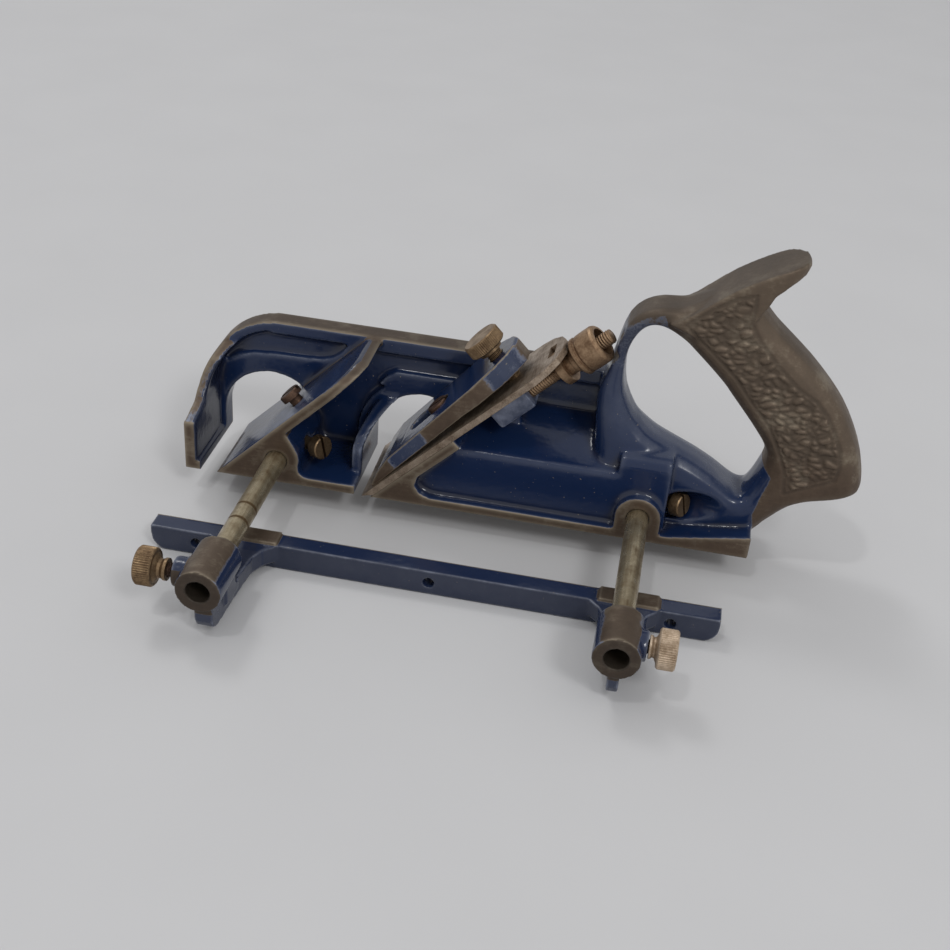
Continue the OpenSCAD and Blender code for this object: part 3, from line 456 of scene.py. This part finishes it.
def step(low, high, values):
    """A smooth step from 0 at low to 1 at high."""
    share = np.clip((values - low) / (high - low), 0, 1)
    return share * share * (3 - 2 * share)


def bulge(points, edges, normals):
    """How far each vertex stands off its neighbours: about 1 on edges, about -1 in hollows."""
    off = np.einsum("ij,ij->i", points - neighbour_mean(points, edges), normals)[:, None]
    for _ in range(3):
        off = 0.5 * off + 0.5 * neighbour_mean(off, edges)
    return off[:, 0] / np.percentile(np.abs(off), 97)


def worn_and_lit_edges(edge):
    """How far the film is rubbed on the edges that bulge() found, which also paints a highlight
    along them.
    """
    return step(0.2, 1.0, edge)


def bare_edges(edge):
    """How far the sharpest of those edges have lost their film."""
    return 0.55 * step(0.6, 1.5, edge)


def creases(edge):
    """How deep each vertex lies in a sharp crease."""
    return step(0.4, 1.5, -edge)


def sheltered(points, edges, normals):
    """How deep each vertex lies in a corner a few millimetres across, 0 to 1."""
    far = points
    for _ in range(40):
        far = neighbour_mean(far, edges)
    return step(0.12, 1.1, np.einsum("ij,ij->i", far - points, normals))


def attribute(mesh, name, values):
    """Keeps one value per vertex for the finish to read."""
    layer = mesh.attributes.new(name, "FLOAT", "POINT")
    layer.data.foreach_set("value", np.clip(values, 0, 1).astype(np.float32))


def inside_by(outline, x, z):
    """Distance inside a closed outline in the side view, in mm; negative outside."""
    corners = np.array(outline, dtype=float)
    nearest = np.full(len(x), 1e9)
    within = np.zeros(len(x), dtype=bool)
    for (ax, az), (bx, bz) in zip(corners, np.roll(corners, -1, axis=0)):
        dx, dz = bx - ax, bz - az
        t = np.clip(((x - ax) * dx + (z - az) * dz) / (dx * dx + dz * dz), 0, 1)
        nearest = np.minimum(nearest, np.hypot(x - ax - t * dx, z - az - t * dz))
        if dz:
            within ^= ((az > z) != (bz > z)) & (x < ax + (z - az) * dx / dz)
    return np.where(within, nearest, -nearest)


def keep_open(points):
    """Widens the rod bores that remeshing and softening have closed a little."""
    for rod_x in ROD_X:
        across = points[:, (0, 2)] - (rod_x, ROD_Z)
        radius = np.hypot(*across.T)
        wall = (radius > 3) & (radius < BORE_RADIUS)
        points[wall, 0] = rod_x + across[wall, 0] * BORE_RADIUS / radius[wall]
        points[wall, 2] = ROD_Z + across[wall, 1] * BORE_RADIUS / radius[wall]
    return points


def finish_casting(piece, node, body, material):
    """Gives a softened casting its finish and its place in the frame."""
    piece.data.materials.clear()
    piece.data.materials.append(material)
    piece.data.shade_smooth()
    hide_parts(node)
    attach(piece, body)


# outline of the pebbled field of the handle in the side view, x and z
PEBBLE_FIELD = [(106.2, 85.4), (113.9, 92.2), (121.6, 97.4), (127.6, 99.4), (127.9, 95.4),
                (127.5, 89.7), (131.6, 83), (139.9, 74.3), (147.9, 67.2), (155, 63),
                (159.8, 57.8), (163.7, 51.2), (166.6, 45.2), (167.7, 38.2), (166.8, 33.4),
                (158.5, 29.1), (150.5, 24.9), (149.1, 33.8), (145.2, 42.2), (140.5, 51.2),
                (132.9, 59.5), (126.2, 67.8), (118.3, 74.9), (110.6, 81.2)]
# the pebbles bend by half their size over this many mm, and each side has pebbles of its own
PEBBLE_BEND = 4
FAR_SIDE = 37
PEBBLE_SEED = 3


def refine_field(mesh):
    """Halves the faces of the pebbled panels, so that the pebbles have enough of them."""
    points = read(mesh)[0]
    inside = inside_by(PEBBLE_FIELD, points[:, 0], points[:, 2]) > -1.5
    inside &= np.abs(normals_of(mesh)[:, 1]) > 0.4
    shape = bmesh.new()
    shape.from_mesh(mesh)
    shape.verts.ensure_lookup_table()
    chosen = [edge for edge in shape.edges if all(inside[vert.index] for vert in edge.verts)]
    bmesh.ops.subdivide_edges(shape, edges=chosen, cuts=1, use_grid_fill=True)
    shape.to_mesh(mesh)
    shape.free()
    mesh.update()


def pebbles(points, edges, normals):
    """Height of the pebbled panels, in mm, and how deep in a groove each vertex lies."""
    size = settings().casting
    rise = np.zeros((len(points), 1))
    within = inside_by(PEBBLE_FIELD, points[:, 0], points[:, 2])
    facing = step(0.5, 0.75, np.abs(normals[:, 1]))
    field = step(0.3, 1.4, within) * facing
    border = step(1.2, 0.2, np.abs(within)) * facing
    # the noise takes its offsets from the seed, so each run gives the same pebbles
    noise.seed_set(PEBBLE_SEED)
    for index in np.nonzero(within > -1)[0]:
        x, y, z = points[index]
        side = FAR_SIDE if y > 0 else 0
        bend = noise.noise_vector(Vector((x / PEBBLE_BEND, side, z / PEBBLE_BEND))) * 0.5
        spot = Vector((x * MM / size.pebble_length + bend.x, side,
                       z * MM / size.pebble_width + bend.z))
        near = noise.voronoi(spot)[0]
        rise[index] = math.sin(min(1.0, (near[1] - near[0]) / 0.5) * math.pi / 2)
    # rounded crowns and grooves
    for _ in range(2):
        rise = neighbour_mean(rise, edges)
    rise = rise[:, 0]
    height = field * (rise - 0.6) * size.pebble_height / MM - 0.3 * border
    # the groove value darkens the pebble grooves and the panel border as painted shade
    groove = np.maximum(field * 0.4 * step(0.65, 0.2, rise), 0.4 * border)
    return height, groove


def nose_inside(points, normals):
    """Which vertices lie on the inside of the nose."""
    return (points[:, 0] < -56) & (points[:, 1] < 9) & (normals[:, 0] > 0.3)


class PLANE_OT_body(bpy.types.Operator):
    """Makes the body casting with its fillets, pebbled handle and worn enamel"""
    bl_idname = "rebate_plane.body"
    bl_label = "Body casting"

    def wear(self, points, normals, edge):
        """How bare and how rubbed each vertex is, from its place, its facing and its edges."""
        x, y, z = points.T
        # rubbed edges are wear and also a painted highlight
        rubbed = worn_and_lit_edges(edge)
        bare = bare_edges(edge)
        # ground faces of sole, near edge and right side
        bare[(y < -18.4) & (normals[:, 1] < -0.5) | (z < 0.6) | (y > 18.3)] = 1
        # top of the rail and outside of the nose
        away = np.hypot(x - NOSE_X, z - NOSE_Z)
        outward = normals[:, 0] * (x - NOSE_X) + normals[:, 2] * (z - NOSE_Z)
        outward = outward / np.maximum(away, 1)
        outside = (normals[:, 2] > 0.55) & (z > 48) & (x < 58) & (y > 9.5)
        outside |= (x < NOSE_X) & (z > 20) & (away > 25) & (outward > 0.45)
        outside |= (x < -71.5) & (normals[:, 0] < -0.5)
        bare[outside] = np.maximum(bare[outside], 0.95)
        # bare edge of the front bed plate up to the rail, a rubbed middle on the bed that is also
        # a painted reflection, a whole tip
        up_bed = (x - FRONT_BED_X + z) * SLOPE
        off_bed = (z - x + FRONT_BED_X) * SLOPE
        facing = (normals[:, 2] - normals[:, 0]) * SLOPE
        thickness = (off_bed > -5.2) & (off_bed < 0.8) & (x < -4)
        plate = thickness & (up_bed > 4)
        edge_face = plate & (np.abs(facing) < 0.75) & (y < 11)
        bare[edge_face] = np.maximum(bare[edge_face], 0.95)
        bed = plate & (facing > 0.8)
        # the pale middle of the bed is rubbed film and a painted reflection
        middle = step(20, 32, up_bed) * step(54, 42, up_bed) * step(8, -4, y)
        rubbed[bed] = middle[bed]
        bare[bed] = 0.2 * middle[bed]
        tip = thickness & (up_bed <= 6) & (facing > 0.5)
        rubbed[tip] *= 0.2
        # the stud boss under the cutter is rubbed thin
        along = (x + z) * SLOPE
        drop = (x - z) * SLOPE
        boss = (along > 55) & (along < 74.5) & (drop > 0) & (drop < 10.4)
        boss &= (y < 4.5) & (y > -12)
        rubbed[boss] = 1
        bare[boss] = np.minimum(bare[boss], 0.3)
        # the inside of the nose keeps its film, what faces up there is part bare
        inner = nose_inside(points, normals)
        rubbed[inner] = 0.15
        bare[inner] = 0.15
        slope = (x < -58) & (y < 9) & (normals[:, 2] > 0.35) & (normals[:, 0] < 0.2)
        bare[slope] = np.maximum(bare[slope], 0.55)
        # behind the block the film is whole, dull on the loop, and lighter on the up-facing rim of
        # its opening as a painted sheen
        rear = step(74, 86, x)
        rubbed = np.minimum(rubbed, 1 - 0.5 * rear)
        bare *= 1 - 0.7 * rear * step(3, 8, z) * (np.abs(y) < 18.2)
        rubbed = np.maximum(rubbed, 0.4 * rear * step(32, 46, z))
        sheen_rim = rear * step(0.5, 1.1, normals[:, 2] + normals[:, 0]) * (z > 17) * (x < 138)
        rubbed = np.maximum(rubbed, 0.5 * sheen_rim)
        # hands have taken the film off the grip, the upper loop and the horn
        reach = x - np.interp(z, GRIP_EDGE_Z, GRIP_EDGE_X)
        grip = step(-1.2, 1.2, reach)
        loop = 0.25 + 0.25 * step(70, 86, z) + 0.35 * step(0.1, 0.7, normals[:, 2])
        loop *= (x > LOOP_X) & (z > 64)
        rubbed *= 1 - 0.55 * np.maximum(grip, step(60, 80, z) * (x > LOOP_X))
        return np.maximum(bare, np.maximum(grip, loop)), rubbed

    def execute(self, context):
        size = settings().casting
        piece = even_copy("body", "body_casting", size.body_grid)
        mesh = piece.data
        points, edges = read(mesh)
        y, z = points[:, 1], points[:, 2]
        # ground faces keep crisp edges, everything else has cast fillets
        ground = np.minimum.reduce([np.abs(y + HALF_WIDTH), np.abs(y - HALF_WIDTH), np.abs(z)])
        weight = (0.1 + 0.45 * step(0.4, 1.6, ground)) * (1 - 0.65 * step(82, 90, z))
        points = keep_open(soften(points, edges, weight, size.fillet_passes))
        write(mesh, points)
        refine_field(mesh)
        points, edges = read(mesh)
        normals = normals_of(mesh)
        height, groove = pebbles(points, edges, normals)
        edge = bulge(points, edges, normals)
        write(mesh, points + normals * height[:, None])
        bare, rubbed = self.wear(points, normals, edge)
        rubbed = neighbour_mean(rubbed[:, None], edges)
        attribute(mesh, "bare", bare)
        attribute(mesh, "rubbed", rubbed[:, 0])
        # painted shade in corners, in creases, inside the nose and on the upward faces of the rail
        # and the horn; the near side of the loop is darkened too
        x, z = points[:, 0], points[:, 2]
        shade = 0.6 * nose_inside(points, normals)
        shade = np.maximum(shade, 0.5 * step(0.6, 0.85, normals[:, 2]) * (z > 46))
        shade = np.maximum(shade, 0.5 * step(58, 76, z) * step(LOOP_X, 80, x) * step(110, 98, x))
        corner = 0.75 * sheltered(points, edges, normals)
        crease = 0.45 * creases(edge)
        darkening = np.maximum.reduce([shade, corner, crease]) * (groove == 0)
        attribute(mesh, "hollow", 0.85 * groove + darkening)
        finish_casting(piece, "body", "casting", enamelled_iron("enamelled cast iron"))
        return {"FINISHED"}


class PLANE_OT_fence(bpy.types.Operator):
    """Makes the fence casting with its fillets and worn pads"""
    bl_idname = "rebate_plane.fence"
    bl_label = "Fence casting"

    def execute(self, context):
        size = settings().casting
        piece = even_copy("fence", "fence_casting", size.fence_grid)
        mesh = piece.data
        points, edges = read(mesh)
        ground = np.abs(points[:, 1] - FENCE_FACE_Y)
        weight = 0.1 + 0.4 * step(0.3, 1.2, ground)
        points = keep_open(soften(points, edges, weight, 4))
        write(mesh, points)
        normals = normals_of(mesh)
        edge = bulge(points, edges, normals)
        bare = bare_edges(edge)
        # rubbed edges are wear and also a painted highlight
        rubbed = 0.1 + 0.9 * worn_and_lit_edges(edge)
        x, y, z = points.T
        bare[y > FENCE_FACE_Y - 0.5] = 1
        # bare pads under the rods, dulled arms
        pad = (y > -62) & (z > -1.2) & (normals[:, 2] > 0.4)
        bare[pad] = np.maximum(bare[pad], 0.9)
        low = (y < -62) & (z < 9)
        rubbed[low] = np.maximum(rubbed[low], 0.4)
        # bare tops and ends of the bosses, a dulled outer face of the bar
        aside = np.minimum(np.abs(x - ROD_X[0]), np.abs(x - ROD_X[1]))
        boss = (y < -79) & (z > 2) & (aside < 6.5)
        bare[boss] = np.maximum(bare[boss], 0.2 + 0.6 * step(0.45, 0.85, normals[boss, 2]))
        ends = (y < -98) & (normals[:, 1] < -0.5) & (z > 0)
        bare[ends] = 0.9
        rubbed[ends] = 0.2 * worn_and_lit_edges(edge[ends])
        front = (normals[:, 1] < -0.6) & (y > -64)
        rubbed[front] = np.maximum(rubbed[front], 0.35)
        # the bores are bare and get painted shade inside
        bore = np.hypot(aside, z - ROD_Z) < BORE_WALL
        bare[bore] = 1
        attribute(mesh, "bare", bare)
        attribute(mesh, "rubbed", rubbed)
        # painted shade in corners and creases and inside the bores; a thin darkening all over, and
        # more on the bar, arms and boss ends
        corner = np.maximum(0.6 * sheltered(points, edges, normals), 0.45 * creases(edge))
        thinnest = np.full(len(x), 0.25)
        dulling = np.maximum.reduce([corner, 0.7 * ends, 0.45 * front, 0.4 * low, thinnest])
        attribute(mesh, "hollow", dulling + 1.4 * bore)
        finish_casting(piece, "fence", "fence", enamelled_iron("enamelled fence iron"))
        return {"FINISHED"}


class PLANE_OT_lever_cap(bpy.types.Operator):
    """Makes the lever cap casting"""
    bl_idname = "rebate_plane.lever_cap"
    bl_label = "Lever cap"

    def execute(self, context):
        size = settings().casting
        piece = even_copy("lever_cap", "lever_cap_casting", size.cap_grid)
        mesh = piece.data
        points, edges = read(mesh)
        points = soften(points, edges, np.full(len(points), 0.35), 4)
        write(mesh, points)
        normals = normals_of(mesh)
        edge = bulge(points, edges, normals)
        upward = normals @ np.array(OFF_BED)
        along = (points[:, 0] + points[:, 2]) * SLOPE
        # blue is left near both ends of the sides and in patches on the top
        low = step(13, 18, along) * step(36, 31, along)
        high = step(64, 70, along) * step(83, 78, along)
        top = step(0.6, 0.9, upward)
        bare = np.maximum(0.8 * step(0.3, 1.0, edge), 0.9 - 0.75 * np.maximum(low, high))
        bare = bare * (1 - top) + top * np.maximum(0.7 * step(0.3, 1.0, edge), 0.1)
        attribute(mesh, "bare", bare)
        side_rub = 0.45 * np.maximum(low, high) * (1 - top)
        # rubbed edges are wear and also a painted highlight
        attribute(mesh, "rubbed", np.maximum(side_rub, 0.8 * step(0.4, 1.0, edge)))
        # painted shade in the creases
        attribute(mesh, "hollow", 0.4 * creases(edge))
        finish_casting(piece, "lever_cap", "lever_cap", enamelled_iron("enamelled cap iron"))
        return {"FINISHED"}


class PLANE_OT_steel(bpy.types.Operator):
    """Finishes the cutter, rods, gauge and other steel pieces"""
    bl_idname = "rebate_plane.steel"
    bl_label = "Steel pieces"

    def execute(self, context):
        tint = settings().colours
        # dull grey with brown stains and grinding lines across the blade
        ground = tarnished_metal("ground tool steel", tint.steel, tint.steel_dark, (1, 0.08, 1),
                                 0.5, metallic=0.65)
        for node in ("cutter", "depth_gauge", "spur"):
            dress(node, ground)
        # smooth and brownish, with drawing lines along the rod
        for node, name, marks in (("rear_rod", "drawn rod steel", ()),
                                  ("front_rod", "scribed rod steel", ROD_MARKS)):
            dress(node, tarnished_metal(name, tint.rod, tint.rod_dark, (1, 0.05, 1), 0.7, 0.24,
                                        metallic=0.7, bands_mm=marks))
        # dark brown heads with a dull glint
        dark = tarnished_metal("dark screw steel", tint.screw, tint.screw_dark, line_mm=0.6,
                               rough=0.45)
        for node in ("main_cap_screw", "front_cap_screw", "spur_screw"):
            dress(node, dark)
        return {"FINISHED"}


class PLANE_OT_brass(bpy.types.Operator):
    """Finishes the brass knobs, nut and screws"""
    bl_idname = "rebate_plane.brass"
    bl_label = "Brass pieces"

    def execute(self, context):
        tint = settings().colours
        # dull yellow-brown
        plain = tarnished_metal("turned brass", tint.brass, tint.brass_dark, line_mm=0.8,
                                rough=0.34)
        for node in ("cap_thumb_knob", "front_fence_knob", "front_rod_screw", "rear_rod_screw",
                     "depth_gauge_screw"):
            dress(node, plain)
        # warm brown
        brown = tarnished_metal("browned brass", tint.nut, tint.nut_dark, line_mm=0.8, rough=0.4)
        dress("adjusting_nut", brown)
        # pale and matt
        pale = tarnished_metal("rubbed brass", tint.pale_brass, tint.pale_brass_dark, line_mm=0.8,
                               rough=0.45, metallic=0.6)
        dress("rear_fence_knob", pale)
        return {"FINISHED"}


def threaded(node, name, along, pitch, depth, material, body):
    """A screw with a cut thread in place of a plain CAD cylinder of the same size."""
    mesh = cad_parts[node].data
    corners = [v.co.copy() for v in mesh.vertices]
    low = min(c.dot(along) for c in corners)
    high = max(c.dot(along) for c in corners)
    flat = [c - along * c.dot(along) for c in corners]
    middle = sum(flat, Vector()) / len(flat)
    radius = max((f - middle).length for f in flat)
    across = along.orthogonal().normalized()
    other = along.cross(across)
    sides = THREAD_SIDES
    rings = max(8, round((high - low) / pitch * RINGS_PER_PITCH))
    points = []
    faces = []
    for ring in range(rings + 1):
        t = (high - low) * ring / rings
        end = min(1.0, min(t, high - low - t) / (LEAD_IN * MM))
        for k in range(sides):
            angle = 2 * math.pi * k / sides
            cut = 0.5 - 0.5 * math.cos(2 * math.pi * t / pitch - angle)
            reach = min(radius - depth * cut ** CREST_POWER, radius - depth * (1 - end))
            spoke = across * math.cos(angle) + other * math.sin(angle)
            points.append(middle + along * (low + t) + spoke * reach)
    for ring in range(rings):
        for k in range(sides):
            a = ring * sides + k
            b = ring * sides + (k + 1) % sides
            faces.append((a, b, b + sides, a + sides))
    faces.append(tuple(reversed(range(sides))))
    faces.append(tuple(range(rings * sides, (rings + 1) * sides)))
    piece = mesh_piece(name, points, faces, material, body)
    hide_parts(node)


class PLANE_OT_threads(bpy.types.Operator):
    """Cuts the threads of the stud and the thumbscrews"""
    bl_idname = "rebate_plane.threads"
    bl_label = "Screw threads"

    def execute(self, context):
        tint = settings().colours
        size = settings().thread
        # worn brown threads on the stud, sharp dark or brass ones on the thumbscrews
        bronzed = tarnished_metal("bronzed stud steel", tint.nut, tint.nut_dark, rough=0.4)
        dark = tarnished_metal("threaded dark steel", tint.screw, tint.screw_dark, rough=0.45,
                               edge_mm=0.1)
        brass = tarnished_metal("threaded brass", tint.brass, tint.brass_dark, rough=0.36,
                                edge_mm=0.1)
        threaded("adjusting_stud", "stud_thread", ALONG_BED, size.stud_pitch, size.worn_depth,
                 bronzed, "casting")
        threaded("cap_thumb_shank", "cap_thumb_thread", OFF_BED, size.cap_pitch, size.depth, brass,
                 "cap_thumb_shank")
        for end, along in (("front", Vector((-1, 0, 0))), ("rear", Vector((1, 0, 0)))):
            threaded(f"{end}_fence_screw", f"{end}_fence_thread", along, size.fence_pitch,
                     size.depth, dark, f"{end}_fence_screw")
        return {"FINISHED"}


class PLANE_OT_stage(bpy.types.Operator):
    """Makes the pale floor, soft lights and the camera"""
    bl_idname = "rebate_plane.stage"
    bl_label = "Stage"

    def add_floor(self, scene):
        """A matt painted board with faint clouds, at the height of the lowest piece."""
        tint = settings().colours
        material, tree, shader = new_material("matt pale board")
        place = add(tree, "ShaderNodeTexCoord").outputs["Object"]
        cloud = add(tree, "ShaderNodeTexNoise", {"Scale": FLOOR_CLOUDS, "Detail": 3},
                    {"Vector": place})
        paler = tuple(min(1.0, c * 1.06) for c in tint.floor[:3]) + (1.0,)
        shade = add(tree, "ShaderNodeMix", {"A": tint.floor, "B": paler},
                    {"Factor": cloud.outputs[0]}, data_type="RGBA")
        tree.links.new(shade.outputs[2], shader.inputs["Base Color"])
        shader.inputs["Roughness"].default_value = 0.85
        low = CAD_BOX[0][2]
        corners = [(-FLOOR_REACH, -FLOOR_REACH, low), (FLOOR_REACH, -FLOOR_REACH, low),
                   (FLOOR_REACH, FLOOR_REACH, low), (-FLOOR_REACH, FLOOR_REACH, low)]
        mesh = bpy.data.meshes.new("floor")
        mesh.from_pydata(corners, [], [(0, 1, 2, 3)])
        mesh.materials.append(material)
        floor = bpy.data.objects.new("floor", mesh)
        scene.collection.objects.link(floor)

    def add_lights(self, scene):
        """Even light of a room, and three lamps for the highlights and the soft shadow."""
        world = bpy.data.worlds.new("soft room light")
        world.use_nodes = True
        sky = world.node_tree.nodes["Background"]
        sky.inputs["Color"].default_value = linear(SKY_COLOUR)
        sky.inputs["Strength"].default_value = SKY_STRENGTH
        scene.world = world
        for name, spot, side, watts in LAMPS:
            lamp = bpy.data.lights.new(name, "AREA")
            lamp.shape = "SQUARE"
            lamp.size = side
            lamp.energy = watts
            holder = bpy.data.objects.new(name, lamp)
            holder.location = spot
            holder.rotation_euler = (-Vector(spot)).to_track_quat("-Z", "Y").to_euler()
            scene.collection.objects.link(holder)

    def add_camera(self, scene):
        """The camera at the place that the photograph was taken from."""
        camera = bpy.data.cameras.new("photo camera")
        camera.sensor_width = SENSOR
        camera.lens = FOCAL_LENGTH
        camera.clip_start = 0.01
        eye = bpy.data.objects.new("photo camera", camera)
        turned = Matrix((EYE_RIGHT, EYE_UP, EYE_BACK)).transposed().to_quaternion()
        eye.matrix_world = Matrix.LocRotScale(EYE_PLACE, turned, None)
        scene.collection.objects.link(eye)
        scene.camera = eye

    def execute(self, context):
        scene = context.scene
        self.add_floor(scene)
        self.add_lights(scene)
        self.add_camera(scene)
        scene.view_settings.view_transform = "Standard"
        return {"FINISHED"}


class PLANE_PT_panel(bpy.types.Panel):
    """Lists the steps and the settings"""
    bl_idname = "PLANE_PT_panel"
    bl_label = "Rebate plane"
    bl_space_type = "VIEW_3D"
    bl_region_type = "UI"
    bl_category = "Plane"

    def draw(self, context):
        for maker in OPERATORS:
            self.layout.operator(maker.bl_idname)
        for group in (settings().casting, settings().thread, settings().colours):
            for key in group.__annotations__:
                self.layout.prop(group, key)


GROUPS = (CastingSizes, ThreadSizes, FinishColours, PlaneSettings)
OPERATORS = (PLANE_OT_body, PLANE_OT_fence, PLANE_OT_lever_cap, PLANE_OT_steel, PLANE_OT_brass,
             PLANE_OT_threads, PLANE_OT_stage)


def register():
    """Adds the settings, the operators and the panel to Blender."""
    for item in GROUPS + OPERATORS + (PLANE_PT_panel,):
        bpy.utils.register_class(item)
    bpy.types.Scene.rebate_plane = PointerProperty(type=PlaneSettings)


def unregister():
    """Takes them out again."""
    del bpy.types.Scene.rebate_plane
    for item in reversed(GROUPS + OPERATORS + (PLANE_PT_panel,)):
        bpy.utils.unregister_class(item)


def main():
    """Builds the whole dressed plane."""
    register()
    bpy.ops.rebate_plane.body()
    bpy.ops.rebate_plane.fence()
    bpy.ops.rebate_plane.lever_cap()
    bpy.ops.rebate_plane.steel()
    bpy.ops.rebate_plane.brass()
    bpy.ops.rebate_plane.threads()
    bpy.ops.rebate_plane.stage()


if __name__ == "__main__":
    main()
